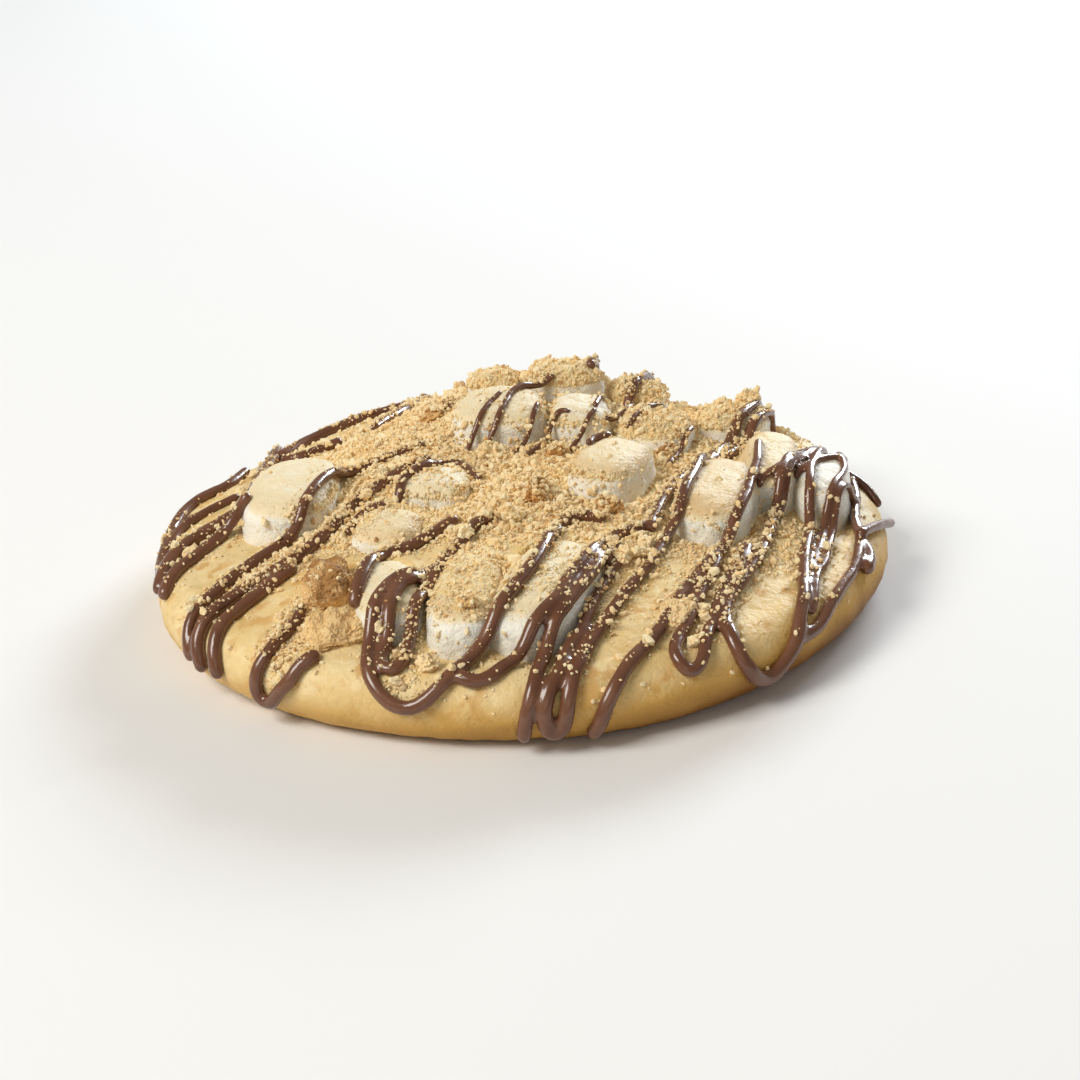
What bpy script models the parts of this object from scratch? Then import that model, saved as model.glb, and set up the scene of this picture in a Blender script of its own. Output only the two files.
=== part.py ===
"""A round soft-baked s'mores cookie: domed dough, puffed marshmallows, chocolate drizzle and cracker crumbs.

The cookie stands on z = 0 with its middle over the origin, and its front faces -Y.
Every size below is in millimetres, and MM turns it into Blender's metres.
"""

import math
import random
from collections import namedtuple

import bmesh
import bpy
from mathutils import Matrix, Vector, noise

MM = 0.001
# The shapes are drawn round the middle of the dough, then moved so that the whole cookie is centred.
SHIFT = (-1.4, -0.2, 0.0)

# The dough is a low dome with a round rim, and its outline is a circle with a few slow waves.
MEAN_RADIUS = 50.0
EDGE_WAVES = ((2, -0.005, 0.0), (3, 0.009, -0.015), (4, 0.014, 0.0), (5, 0.008, 0.006))
DENTS = ((3.1, 147.0, 17.0), (0.9, 185.0, 11.0))
RIM_SHARE = 0.10
RIM_HALF_HEIGHT = 4.6
RIM_SWELL = 1.3
RIM_SWELL_ANGLE = 30.0
RIM_SWELL_WIDTH = 22.0
CENTRE_HEIGHT = 16.5
MOUND_HEIGHT = 4.0
MOUND_MIDDLE = (5.0, 22.0)
MOUND_REACH = (20.0, 12.0)
BUMP_SIZE = 11.0
BUMP_HEIGHT = 0.45
DOUGH_SEGMENTS = 56
TOP_RINGS = 8
RIM_RINGS = 6
UNDERSIDE_RINGS = 3

# Marshmallows: middle, half width, half length, turn in degrees (against the clock) and height of the top.
Puff = namedtuple("Puff", "x y half_width half_length turn top")
PUFFS = (
    Puff(-30.2, -2.2, 6.4, 9.6, -4, 16.8),
    Puff(-10.8, -5.5, 5.4, 4.8, -10, 17.8),
    Puff(-1.6, 13.2, 6.8, 6.4, -6, 21.4),
    Puff(9.9, 12.2, 4.4, 5.4, -10, 20.6),
    Puff(13.4, -4.0, 5.0, 6.8, -28, 19.8),
    Puff(-6.4, -33.2, 4.5, 8.8, -8, 15.2),
    Puff(-16.2, -31.0, 4.4, 7.2, 8, 14.4),
    Puff(3.6, -31.8, 5.8, 11.2, -24, 15.4),
    Puff(-16.5, -15.5, 4.8, 4.6, -20, 16.2),
    Puff(27.2, -9.0, 5.2, 10.2, -20, 17.2),
    Puff(35.6, 1.2, 4.1, 9.2, -12, 17.0),
    Puff(42.4, -1.6, 3.8, 8.0, -12, 15.0),
    Puff(8.3, 23.8, 5.6, 5.2, 4, 22.6),
    Puff(20.4, 11.4, 5.4, 5.6, -20, 18.6),
    Puff(32.3, 17.2, 5.2, 5.6, -20, 17.0),
    Puff(-2.4, 25.6, 3.9, 4.6, 4, 21.0),
    Puff(18.9, 25.0, 4.5, 4.8, -10, 18.8),
)
PUFF_CORNER = 2.8
PUFF_SHOULDER = 2.6
PUFF_SINK = 3.2
PUFF_TILT = 0.5
PUFF_SEGMENTS = 16
PUFF_CAP = (0.5, 0.8, 0.95)
GAP = 0.3
POCKET_TOP = 40.0

# Cracker chunks: middle, half width, half length, turn, height above the dough, seed of its broken shape.
Chunk = namedtuple("Chunk", "x y half_width half_length turn height seed")
CHUNKS = (
    Chunk(-23.2, -28.2, 3.2, 3.4, 20, 3.5, 3),
    Chunk(-22.2, -36.0, 3.9, 2.8, 25, 2.8, 8),
    Chunk(19.4, -36.4, 2.0, 2.5, -30, 2.0, 5),
)
CHUNK_SINK = 1.0
CHUNK_ROUGHNESS = 0.16
CHUNK_TOP_TAPER = 0.28
CHUNK_BASE_TAPER = 0.12
CHUNK_POCKET_SIDES = 12

# Drizzle: radii spread evenly along the strand, and the way it runs. The points are whole or half
# millimetres on the cookie seen from above, with the rim rolled out flat beyond nine tenths of the radius.
DRIZZLE = (
    ((0.8, 1.0), ((-39, 18), (-41, 13), (-43, 10.5), (-45, 8), (-46.3, 5), (-47.2, 1), (-47.6, -4), (-47.8, -9),
                  (-47.2, -13))),
    ((1.0, 1.1), ((-35, 27), (-35.5, 19), (-36, 11), (-36.3, 4), (-37.5, -1), (-40, -3.5), (-43, -5.5),
                  (-45, -8.5), (-46.4, -12), (-47.2, -15.5))),
    ((0.9, 1.0), ((-36, -6), (-38.5, -7), (-40.5, -9), (-42.5, -11.5), (-44.5, -14.5), (-46, -18))),
    ((0.7, 0.8), ((-39, 5), (-42, 3.5), (-44.5, 1.5), (-46.2, -2), (-47.4, -7))),
    ((1.0, 1.0), ((-12, 41), (-22, 36), (-30, 29), (-34, 23))),
    ((0.9, 0.9), ((-25.5, 20), (-27.5, 19.3), (-29.5, 18.2), (-31.2, 17.5), (-33, 18.5))),
    ((0.7, 1.0), ((-13, 9), (-19, 5), (-23, 1.5), (-25.5, -4), (-27.2, -9), (-29.5, -14), (-34, -18), (-38, -22),
                  (-41.2, -27), (-42.8, -31))),
    ((0.8, 1.1), ((-12, 3), (-17.5, -2.5), (-21.5, -8.5), (-24.5, -14), (-28, -19), (-32, -22.5), (-36.5, -25.5),
                  (-40, -30), (-41.5, -33.5))),
    ((1.0, 1.0), ((-29, -22), (-33, -26), (-36.5, -30), (-39, -36))),
    ((0.9, 0.9), ((-27, -31), (-27.5, -33), (-29.5, -35.7), (-31.2, -37.5), (-32.4, -39.3), (-33.2, -41.5),
                  (-33.2, -43.3), (-32, -44.4), (-30.6, -43.4), (-29, -41.6), (-27, -40.7), (-24.8, -39.8))),
    ((0.7, 0.7), ((-15.4, -9.6), (-14.6, -6.2), (-13.2, -4.2), (-11.6, -2.2), (-10, 0), (-8.6, 0.9), (-7, 0.4),
                  (-5.8, -1.8), (-4.8, -4))),
    ((0.8, 1.0), ((-8, -16.5), (-10.5, -19), (-13, -21), (-15.5, -22.3), (-17.4, -24), (-18.5, -27), (-19.3, -30),
                  (-20, -33.5))),
    ((0.9, 1.0, 0.9), ((-3, -16.5), (-5, -18), (-7, -22), (-8.5, -25), (-11, -28.2), (-12.8, -29.8), (-14.5, -31),
                       (-15.7, -32.5), (-16.6, -34.2), (-17.3, -36), (-17.9, -38.5), (-18.2, -41), (-18, -44),
                       (-17, -46.6), (-15.5, -48.4), (-13.5, -49.2), (-11.3, -48.7), (-9, -47), (-7.2, -45.3),
                       (-5.3, -43), (-3.6, -41), (-2, -38.6), (-0.2, -35.5), (1.8, -31.4), (3.5, -26.5),
                       (4.5, -22.5), (6, -18.5), (8, -16.5), (11, -17))),
    ((0.9, 0.9), ((-10.5, -27.5), (-12.8, -31), (-14.2, -32.6), (-15, -34.5), (-15.6, -37), (-16, -40),
                  (-16.6, -42), (-16.2, -43.8), (-15, -44.3), (-13.9, -43), (-13.3, -40), (-12.6, -36.2),
                  (-11.6, -33.2), (-9.8, -29.5))),
    ((1.0, 0.9), ((-6.8, -46.8), (-5.3, -47.4), (-3.5, -46.9), (-1.8, -45.5), (0, -44), (1.5, -42.3), (2.9, -40.6),
                  (4.5, -38.2), (5.8, -35.2), (7, -32), (8.8, -28.4), (10.8, -24.8), (12.8, -22), (15, -20.2),
                  (17.6, -18))),
    ((0.9, 0.9), ((0.1, -54.2), (0.4, -52), (1.1, -49.5), (2, -46.4), (2.7, -44.6), (3.5, -42.6), (4.4, -40.8),
                  (5.4, -38.7), (6.6, -35.8), (8, -33), (9.6, -30), (11.2, -27.3), (12.8, -25.2), (14, -23.6))),
    ((0.9, 0.9, 0.8, 0.8), ((13, -26.3), (11.8, -28.2), (10.9, -30.3), (9.9, -32.5), (8.9, -34.8), (8, -37.5),
                            (7.2, -40), (6.3, -43), (5.3, -45), (4.2, -46.8), (3.2, -48.4), (2.6, -50.2),
                            (2.5, -52), (3, -53.4), (4, -54), (4.9, -53.3), (5.3, -51.6), (5.5, -49.8),
                            (5.9, -47.4), (6.6, -45.3), (7.7, -42.3), (9, -39.6), (10.2, -37.2), (11.3, -34.9),
                            (12.6, -32.6), (14, -30.7), (15.5, -28.5), (17, -26.4), (18.2, -23.5), (19.2, -20.8),
                            (20.3, -18.4), (21.3, -16.8), (22.1, -14.4), (23, -11.2), (24.3, -7.5), (25.8, -2),
                            (27.5, 3.5), (30.5, 9), (33.5, 14.5), (36, 20), (37, 26))),
    ((0.9, 0.8), ((17.6, -18), (18.9, -13.3), (20, -10), (21, -7.6), (22.3, -4.8), (24.2, -1.2), (26.5, 2),
                  (29.5, 5), (32.5, 9), (35.5, 14), (38, 19))),
    ((0.9, 0.9, 0.7), ((9.2, -54), (9.5, -53), (10, -50.7), (10.6, -49.1), (11.5, -47.4), (12.7, -45.4),
                       (14, -43.6), (15.3, -41.8), (16.8, -39.5), (17.7, -37.7), (18.8, -35.5), (20, -33),
                       (21.4, -30.7), (22.7, -28.4), (23.9, -26), (25.2, -23.9), (26.4, -21.9), (27.3, -20),
                       (28.2, -18.2), (29.2, -16.2), (30.1, -14), (30.8, -12), (31.4, -9.5), (32.4, -6.2),
                       (33.2, -3.4), (34, 2))),
    ((0.9, 0.9), ((25.5, -24.5), (24.3, -27.8), (23.2, -30.3), (22.3, -32.8), (21.4, -35), (20.3, -38),
                  (19.2, -40.5), (18.5, -42.6), (18.8, -44), (19.8, -45), (21, -44.6), (21.8, -43), (22.4, -40.4),
                  (23.2, -38), (24.1, -35.3), (25, -32.7), (25.8, -30.3), (26.8, -27.8), (28.2, -25),
                  (29.8, -20.5))),
    ((0.6, 1.1, 0.6), ((43, 7), (39.5, 1), (37.6, -2), (36.7, -4.5), (36, -6.8), (35.2, -9.2), (34.2, -12.6),
                       (33.3, -15.8), (32.5, -18.5), (31.5, -21.2), (30.4, -23.5), (29.2, -26), (27.9, -28.7),
                       (26.7, -30.8), (25.8, -33), (25.3, -35.3), (25.3, -38), (25.8, -40), (26.7, -41.6),
                       (28, -42.5), (29.6, -43), (31.2, -42.8), (32.7, -41.7), (33.6, -39.7), (34.2, -37.9),
                       (34.7, -36), (35, -34.2), (35.5, -32), (36.1, -29.6), (36.5, -27.5), (37.1, -24.3),
                       (37.5, -21.3), (38.2, -17.2), (39, -13.1), (39.6, -8.5), (40.2, -5), (41, -1.5), (43, 4),
                       (44.5, 8))),
    ((0.6, 0.7), ((45.5, 6), (45.6, 0), (44.7, -3.5), (43.4, -6.2), (42.3, -8.8), (41.1, -11.8), (39.9, -16),
                  (38.8, -19.8), (37.6, -22.9))),
    ((0.6, 0.8), ((47.5, 6), (47.4, 1), (46.4, -3), (45, -5.4), (43.6, -8), (42.7, -10.4), (41.7, -14),
                  (40.7, -17.4), (39.8, -20.7), (38.6, -23.2), (37.8, -25.9), (37.3, -28.6), (36.6, -31.2))),
    ((0.7, 0.9), ((47.5, 4), (47.3, 0), (46.6, -4), (45.9, -8), (45.7, -12), (44.8, -16.5), (43.4, -21), (41.4, -25),
                  (39.5, -29), (38, -32.6), (36.5, -34.5), (35, -36))),
    ((0.7, 0.8), ((40, 3), (43.5, 6.5), (47, 6.5), (49.5, 5), (51.5, 3))),
    ((0.7, 1.1), ((45.6, -13.2), (46.2, -15), (46.3, -17), (45.6, -19))),
    ((0.8, 1.0), ((-20, 22), (-16, 32), (-14, 42), (-13, 51))),
    ((0.8, 1.0), ((-9, 21), (-9, 31), (-8, 41), (-10, 51))),
    ((0.8, 1.0), ((1, 20), (3, 30), (4, 40), (3, 51))),
    ((0.8, 1.0), ((12, 22), (13, 32), (12, 42), (10, 52))),
    ((0.8, 1.0), ((17, 19), (21, 29), (23, 38), (23, 48))),
    ((0.8, 1.0), ((36, 24), (38, 30), (39, 36))),
)
TIP_START = (46.0, -13.0, 10.2)
TIP_MIDDLE = (49.1, -8.1, 9.1)
TIP_END = (51.6, -3.2, 7.0)
TIP_RADIUS = 0.8
DRIZZLE_SINK = 0.45
DRIZZLE_FLOOR = 0.2
FLOOR_BLOCK = 80.0
STRAND_SIDES = 6
STRAND_STEP = 0.5
STRAND_GAP = 8.0
STRAND_BEND = 28.0
TAUT_PASSES = 14
SHORTEST_EDGE = 0.0015
FLAT_DEGREES = 4.5
LEFT_ALONE = 0.6
MERGE_TRIES = 6
SHARP_DEGREES = 35.0

# The largest bits of cracker, by hand: middle and size. The first one is the highest point of the cookie.
BITS = (
    (8.9, 23.6, 1.2), (17.0, 24.0, 1.3), (20.4, 26.0, 1.3), (3.0, -10.0, 2.2), (22.0, 5.5, 1.9),
    (14.0, -24.0, 2.2), (-11.5, 19.0, 1.7), (14.5, 12.0, 1.5), (-3.0, 4.0, 1.6), (-18.5, 0.5, 1.4),
    (-21.0, 12.0, 1.3), (-43.0, -10.0, 1.2), (25.5, 25.0, 1.7), (14.5, 30.0, 1.6),
)
# Smaller ones are scattered, thickest over the middle.
CRUMB_COUNT = 24
CRUMB_SMALL = 0.8
CRUMB_LARGE = 1.7
CRUMB_SPREAD = (17.0, 19.0)
CRUMB_MIDDLE = (3.0, 2.0)
CRUMB_REACH = 44.0
CRUMB_SPACING = 1.3
CRUMB_STRETCH = (1.2, 0.9, 0.8)
CRUMB_ROUGHNESS = (0.8, 1.15)
CRUMB_LIFT = 0.35
CHUNK_CLEARANCE = 6.0
CRUMB_SEED = 12

COLOURS = {
    "dough": ((0.66, 0.42, 0.16, 1.0), 0.55),
    "marshmallow": ((0.90, 0.78, 0.58, 1.0), 0.70),
    "cracker": ((0.60, 0.33, 0.11, 1.0), 0.80),
}


def hump(angle, centre_degrees, width_degrees):
    """A smooth bump of height 1 round one side of the cookie."""
    away = (math.degrees(angle) - centre_degrees + 180) % 360 - 180
    return math.exp(-((away / width_degrees) ** 2))


def edge_radius(angle):
    waves = sum(c * math.cos(n * angle) + s * math.sin(n * angle) for n, c, s in EDGE_WAVES)
    dents = sum(depth * hump(angle, middle, width) for depth, middle, width in DENTS)
    return MEAN_RADIUS * (1 + waves) - dents


def rim_half_height(angle):
    return RIM_HALF_HEIGHT + RIM_SWELL * hump(angle, RIM_SWELL_ANGLE, RIM_SWELL_WIDTH)


def dough_height(x, y):
    """Height of the domed top, which is level with the top of the rim at nine tenths of the radius."""
    angle = math.atan2(y, x)
    share = min(math.hypot(x, y) / (edge_radius(angle) * (1 - RIM_SHARE)), 1.0)
    rim_top = 2 * rim_half_height(angle)
    fade = 1 - share**4
    bump = BUMP_HEIGHT * fade * noise.noise(Vector((x / BUMP_SIZE, y / BUMP_SIZE, 0)))
    away = math.hypot((x - MOUND_MIDDLE[0]) / MOUND_REACH[0], (y - MOUND_MIDDLE[1]) / MOUND_REACH[1])
    mound = MOUND_HEIGHT * (1 - share**4) * math.exp(-(away**2))
    return rim_top + (CENTRE_HEIGHT - rim_top) * (1 - share**2) + mound + bump


def puff_share(puff, x, y):
    """0 in the middle of a marshmallow and 1 on its outline."""
    turn = math.radians(puff.turn)
    across = ((x - puff.x) * math.cos(turn) + (y - puff.y) * math.sin(turn)) / puff.half_width
    along = ((y - puff.y) * math.cos(turn) - (x - puff.x) * math.sin(turn)) / puff.half_length
    return (abs(across) ** PUFF_CORNER + abs(along) ** PUFF_CORNER) ** (1 / PUFF_CORNER)


def puff_height(puff, x, y):
    """Height of a marshmallow's top, which leans a little with the dome under it."""
    share = min(puff_share(puff, x, y), 1.0)
    lean = PUFF_TILT * (dough_height(x, y) - dough_height(puff.x, puff.y))
    return puff.top + lean - PUFF_SHOULDER * (1 - math.sqrt(1 - share**3))


def rise_above_dough(x, y):
    """How far the marshmallows stand above the dough at a point."""
    tops = [puff_height(puff, x, y) for puff in PUFFS if puff_share(puff, x, y) < 1]
    return max([top - dough_height(x, y) for top in tops] + [0.0])


def skin(x, y):
    """Point on the dough and its outward direction, for a place on the rolled-out plan."""
    angle = math.atan2(y, x)
    radius = math.hypot(x, y)
    flat = edge_radius(angle) * (1 - RIM_SHARE)
    out = Vector((math.cos(angle), math.sin(angle), 0))
    if radius <= flat:
        return Vector((x, y, dough_height(x, y))), Vector((0, 0, 1))
    half = rim_half_height(angle)
    width = edge_radius(angle) * RIM_SHARE
    over = min((radius - flat) / (0.5 * (width + half)), math.pi)
    point = out * (flat + width * math.sin(over)) + Vector((0, 0, half + half * math.cos(over)))
    return point, out * math.sin(over) + Vector((0, 0, math.cos(over)))


def material(name):
    """A plain Principled BSDF material, made once for each name."""
    found = bpy.data.materials.get(name)
    if found:
        return found
    made = bpy.data.materials.new(name)
    made.use_nodes = True
    colour, roughness = COLOURS[name.split("_")[0]]
    shader = made.node_tree.nodes["Principled BSDF"]
    shader.inputs["Base Color"].default_value = colour
    shader.inputs["Roughness"].default_value = roughness
    shader.inputs["Metallic"].default_value = 0.0
    return made


def collection(name, hidden=False):
    made = bpy.data.collections.new(name)
    bpy.context.scene.collection.children.link(made)
    made.hide_render = hidden
    return made


def object_from(bm, name, home):
    """Turns a bmesh in millimetres into an object in metres, at its place in the shared frame."""
    bmesh.ops.recalc_face_normals(bm, faces=bm.faces)
    if bm.calc_volume(signed=True) < 0:
        bmesh.ops.reverse_faces(bm, faces=bm.faces)
    bmesh.ops.translate(bm, vec=SHIFT, verts=bm.verts)
    bmesh.ops.scale(bm, vec=(MM, MM, MM), verts=bm.verts)
    mesh = bpy.data.meshes.new(name)
    bm.to_mesh(mesh)
    bm.free()
    obj = bpy.data.objects.new(name, mesh)
    home.objects.link(obj)
    if home.hide_render:
        obj.hide_render = True
        obj.display_type = "WIRE"
    return obj


def shaped_sphere(segments, rings, place):
    """A UV sphere whose points are moved ring by ring: place(ring, angle) gives each one's place."""
    bm = bmesh.new()
    bmesh.ops.create_uvsphere(bm, u_segments=segments, v_segments=rings, radius=1.0)
    for vert in bm.verts:
        ring = round(math.acos(max(-1.0, min(1.0, vert.co.z))) / math.pi * rings)
        vert.co = place(ring, math.atan2(vert.co.y, vert.co.x))
    return bm


def dough_place(ring, angle):
    edge = edge_radius(angle)
    half = rim_half_height(angle)
    if ring <= TOP_RINGS:
        radius = edge * (1 - RIM_SHARE) * ring / TOP_RINGS
        x, y = radius * math.cos(angle), radius * math.sin(angle)
        return Vector((x, y, dough_height(x, y)))
    if ring <= TOP_RINGS + RIM_RINGS:
        over = math.pi * (ring - TOP_RINGS) / RIM_RINGS
        radius = edge * (1 - RIM_SHARE + RIM_SHARE * math.sin(over))
        return Vector((radius * math.cos(angle), radius * math.sin(angle), half + half * math.cos(over)))
    inward = (ring - TOP_RINGS - RIM_RINGS) / UNDERSIDE_RINGS
    radius = edge * (1 - RIM_SHARE) * (1 - inward)
    return Vector((radius * math.cos(angle), radius * math.sin(angle), 0))


def make_dough(home):
    rings = TOP_RINGS + RIM_RINGS + UNDERSIDE_RINGS
    return object_from(shaped_sphere(DOUGH_SEGMENTS, rings, dough_place), "cookie", home)


def puff_outline(puff, angle, grow=0.0):
    """Point of a marshmallow's outline, seen from above, in the direction of an angle."""
    c, s = math.cos(angle), math.sin(angle)
    reach = (abs(c) ** PUFF_CORNER + abs(s) ** PUFF_CORNER) ** (-1 / PUFF_CORNER)
    across = reach * c * (puff.half_width + grow)
    along = reach * s * (puff.half_length + grow)
    turn = math.radians(puff.turn)
    x = puff.x + across * math.cos(turn) - along * math.sin(turn)
    y = puff.y + across * math.sin(turn) + along * math.cos(turn)
    return x, y


def puff_bottom(puff):
    angles = [math.tau * k / PUFF_SEGMENTS for k in range(PUFF_SEGMENTS)]
    return min(dough_height(*puff_outline(puff, a)) for a in angles) - PUFF_SINK


def meet(one, other):
    """Whether two footprints come near enough to touch."""
    reach = max(one.half_width, one.half_length) + max(other.half_width, other.half_length)
    return math.hypot(one.x - other.x, one.y - other.y) < reach + 1


def make_puff(puff, name, home):
    """A puffed marshmallow: straight sides up from its pocket, a round shoulder and a full top."""
    bottom = puff_bottom(puff)
    caps = len(PUFF_CAP)

    def place(ring, angle):
        share = 0.0 if ring == 0 else PUFF_CAP[min(ring, caps) - 1]
        if ring > caps:
            share = 1.0 if ring <= caps + 2 else (0.5 if ring == caps + 3 else 0.0)
        x, y = puff_outline(puff, angle)
        x, y = puff.x + (x - puff.x) * share, puff.y + (y - puff.y) * share
        height = puff_height(puff, x, y) if ring <= caps + 1 else bottom
        return Vector((x, y, height))

    return object_from(shaped_sphere(PUFF_SEGMENTS, caps + 4, place), name, home)


def prism(outline, low, high, name, home):
    """An upright block with the given outline, from low to high."""
    bm = bmesh.new()
    bmesh.ops.create_cone(
        bm, cap_ends=True, segments=len(outline), radius1=1.0, radius2=1.0, depth=1.0
    )
    floor = sorted((v for v in bm.verts if v.co.z < 0), key=lambda v: math.atan2(v.co.y, v.co.x))
    roof = sorted((v for v in bm.verts if v.co.z > 0), key=lambda v: math.atan2(v.co.y, v.co.x))
    for vert, (x, y) in zip(floor, outline):
        vert.co = (x, y, low)
    for vert, (x, y) in zip(roof, outline):
        vert.co = (x, y, high)
    return object_from(bm, name, home)


def puff_prism(puff, grow, low, name, home):
    angles = [math.tau * (k + 0.5) / PUFF_SEGMENTS - math.pi for k in range(PUFF_SEGMENTS)]
    return prism([puff_outline(puff, a, grow) for a in angles], low, POCKET_TOP, name, home)


def chunk_floor(chunk):
    return dough_height(chunk.x, chunk.y) - CHUNK_SINK


def chunk_corner(chunk, across, along):
    turn = math.radians(chunk.turn)
    x = chunk.x + across * math.cos(turn) - along * math.sin(turn)
    y = chunk.y + across * math.sin(turn) + along * math.cos(turn)
    return x, y


def make_chunk(chunk, name, home):
    """A broken block of cracker: a cube cut into a grid, roughened, with its top corners drawn in."""
    rng = random.Random(chunk.seed)
    floor = chunk_floor(chunk)
    bm = bmesh.new()
    bmesh.ops.create_cube(bm, size=2.0)
    bmesh.ops.subdivide_edges(bm, edges=bm.edges[:], cuts=2, use_grid_fill=True)
    for vert in bm.verts:
        upper = (vert.co.z + 1) / 2
        draw_in = 1 - CHUNK_TOP_TAPER * upper - CHUNK_BASE_TAPER * (1 - upper)
        rough = [rng.uniform(-CHUNK_ROUGHNESS, CHUNK_ROUGHNESS) for _ in range(3)]
        across = (vert.co.x * draw_in + rough[0]) * chunk.half_width
        along = (vert.co.y * draw_in + rough[1]) * chunk.half_length
        x, y = chunk_corner(chunk, across, along)
        lift = (chunk.height + CHUNK_SINK) * (upper + (rough[2] if upper > 0 else 0))
        vert.co = (x, y, floor + lift)
    bmesh.ops.triangulate(bm, faces=bm.faces)
    return object_from(bm, name, home)


def chunk_prism(chunk, home):
    """The pocket for a chunk, a little wider than its roughest corner."""
    outline = []
    for k in range(CHUNK_POCKET_SIDES):
        angle = math.tau * (k + 0.5) / CHUNK_POCKET_SIDES - math.pi
        reach = (abs(math.cos(angle)) ** 6 + abs(math.sin(angle)) ** 6) ** (-1 / 6)
        across = reach * math.cos(angle) * (chunk.half_width * (1 + CHUNK_ROUGHNESS) + GAP)
        along = reach * math.sin(angle) * (chunk.half_length * (1 + CHUNK_ROUGHNESS) + GAP)
        outline.append(chunk_corner(chunk, across, along))
    return prism(outline, chunk_floor(chunk) - GAP, POCKET_TOP, "pocket", home)


def smooth_way(points):
    """Evenly spaced points along a smooth curve through the given ones."""
    p = [Vector(q).to_3d() for q in points]
    p = [2 * p[0] - p[1]] + p + [2 * p[-1] - p[-2]]
    way = []
    for a, b, c, d in zip(p, p[1:], p[2:], p[3:]):
        steps = max(2, round((c - b).length / STRAND_STEP))
        for k in range(steps):
            t = k / steps
            bend = (2 * a - 5 * b + 4 * c - d) * t**2 + (3 * b - a - 3 * c + d) * t**3
            way.append(0.5 * (2 * b + (c - a) * t + bend))
    way.append(p[-2])
    return way


def radius_along(radii, share):
    """Radius at a share of the way along a strand, between the evenly spread ones."""
    spot = share * (len(radii) - 1)
    k = min(int(spot), len(radii) - 2)
    return radii[k] + (radii[k + 1] - radii[k]) * (spot - k)


def strand_line(points, radii):
    """Centre line of a strand that lies on the dough and hangs taut over the marshmallows."""
    way = smooth_way(points)
    rise = [rise_above_dough(q.x, q.y) for q in way]
    bare = list(rise)
    for _ in range(TAUT_PASSES):
        inner = [max(bare[k], (rise[k - 1] + rise[k + 1]) / 2) for k in range(1, len(rise) - 1)]
        rise = [rise[0]] + inner + [rise[-1]]
    line = []
    for k, q in enumerate(way):
        radius = radius_along(radii, k / (len(way) - 1))
        point, outward = skin(q.x, q.y)
        line.append((point + outward * (rise[k] + radius * (1 - DRIZZLE_SINK)), radius))
    return line


def thin_out(line):
    """Keeps the points that a faceted strand needs: more of them where it bends."""
    kept = [line[0]]
    heading = (line[1][0] - line[0][0]).normalized()
    for (point, radius), (after, _) in zip(line[1:-1], line[2:]):
        way = (after - point).normalized()
        bend = math.degrees(heading.angle(way, 0))
        if (point - kept[-1][0]).length > STRAND_GAP or bend > STRAND_BEND:
            kept.append((point, radius))
            heading = way
    if (line[-1][0] - kept[-1][0]).length < 1.0 and len(kept) > 2:
        kept.pop()
    return kept + [line[-1]]


def tube(line, name, home):
    """A faceted strand: a bevelled curve turned into a closed mesh."""
    data = bpy.data.curves.new(name, "CURVE")
    data.dimensions = "3D"
    data.bevel_depth = MM
    data.bevel_resolution = (STRAND_SIDES - 4) // 2
    data.use_fill_caps = True
    spline = data.splines.new("POLY")
    spline.points.add(len(line) - 1)
    for slot, (point, radius) in zip(spline.points, line):
        slot.co = (*(point * MM), 1)
        slot.radius = radius
    curve = bpy.data.objects.new(name, data)
    home.objects.link(curve)
    graph = bpy.context.evaluated_depsgraph_get()
    mesh = bpy.data.meshes.new_from_object(curve.evaluated_get(graph))
    bpy.data.objects.remove(curve)
    bm = bmesh.new()
    bm.from_mesh(mesh)
    bpy.data.meshes.remove(mesh)
    bmesh.ops.remove_doubles(bm, verts=bm.verts, dist=1e-6)
    bmesh.ops.scale(bm, vec=(1 / MM, 1 / MM, 1 / MM), verts=bm.verts)
    return object_from(bm, name, home)


def make_drizzle(home):
    for radii, points in DRIZZLE:
        tube(thin_out(strand_line(points, radii)), "strand", home)
    tip = (TIP_START, TIP_MIDDLE, TIP_END)
    tube([(Vector(point), TIP_RADIUS) for point in tip], "strand", home)


def crumb_places():
    """Places and sizes of the large crumbs, each well inside one marshmallow or well clear of them all."""
    rng = random.Random(CRUMB_SEED)
    found = list(BITS)
    while len(found) < CRUMB_COUNT + len(BITS):
        x = rng.gauss(CRUMB_MIDDLE[0], CRUMB_SPREAD[0])
        y = rng.gauss(CRUMB_MIDDLE[1], CRUMB_SPREAD[1])
        size = rng.uniform(CRUMB_SMALL, CRUMB_LARGE)
        if math.hypot(x, y) > CRUMB_REACH:
            continue
        if any(math.hypot(x - c.x, y - c.y) < CHUNK_CLEARANCE + size for c in CHUNKS):
            continue
        if any(math.hypot(x - fx, y - fy) < CRUMB_SPACING * (size + other) for fx, fy, other in found):
            continue
        band = (size + GAP) / min(puff.half_width for puff in PUFFS)
        shares = [puff_share(puff, x, y) for puff in PUFFS]
        if any(1 - band < share < 1 + band for share in shares):
            continue
        found.append((x, y, size))
    return found


def make_crumbs(home):
    """Faceted, uneven bits, sunk by a third into what they lie on."""
    rng = random.Random(CRUMB_SEED + 1)
    for x, y, size in crumb_places():
        bm = bmesh.new()
        bmesh.ops.create_icosphere(bm, subdivisions=1, radius=size)
        height = dough_height(x, y) + rise_above_dough(x, y) + CRUMB_LIFT * size
        turn = Matrix.Rotation(rng.uniform(0, math.tau), 3, Vector((rng.random(), rng.random(), 1)))
        for vert in bm.verts:
            stretched = vert.co * Vector(CRUMB_STRETCH)
            vert.co = turn @ stretched * rng.uniform(*CRUMB_ROUGHNESS) + Vector((x, y, height))
        object_from(bm, "crumb", home)


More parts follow.
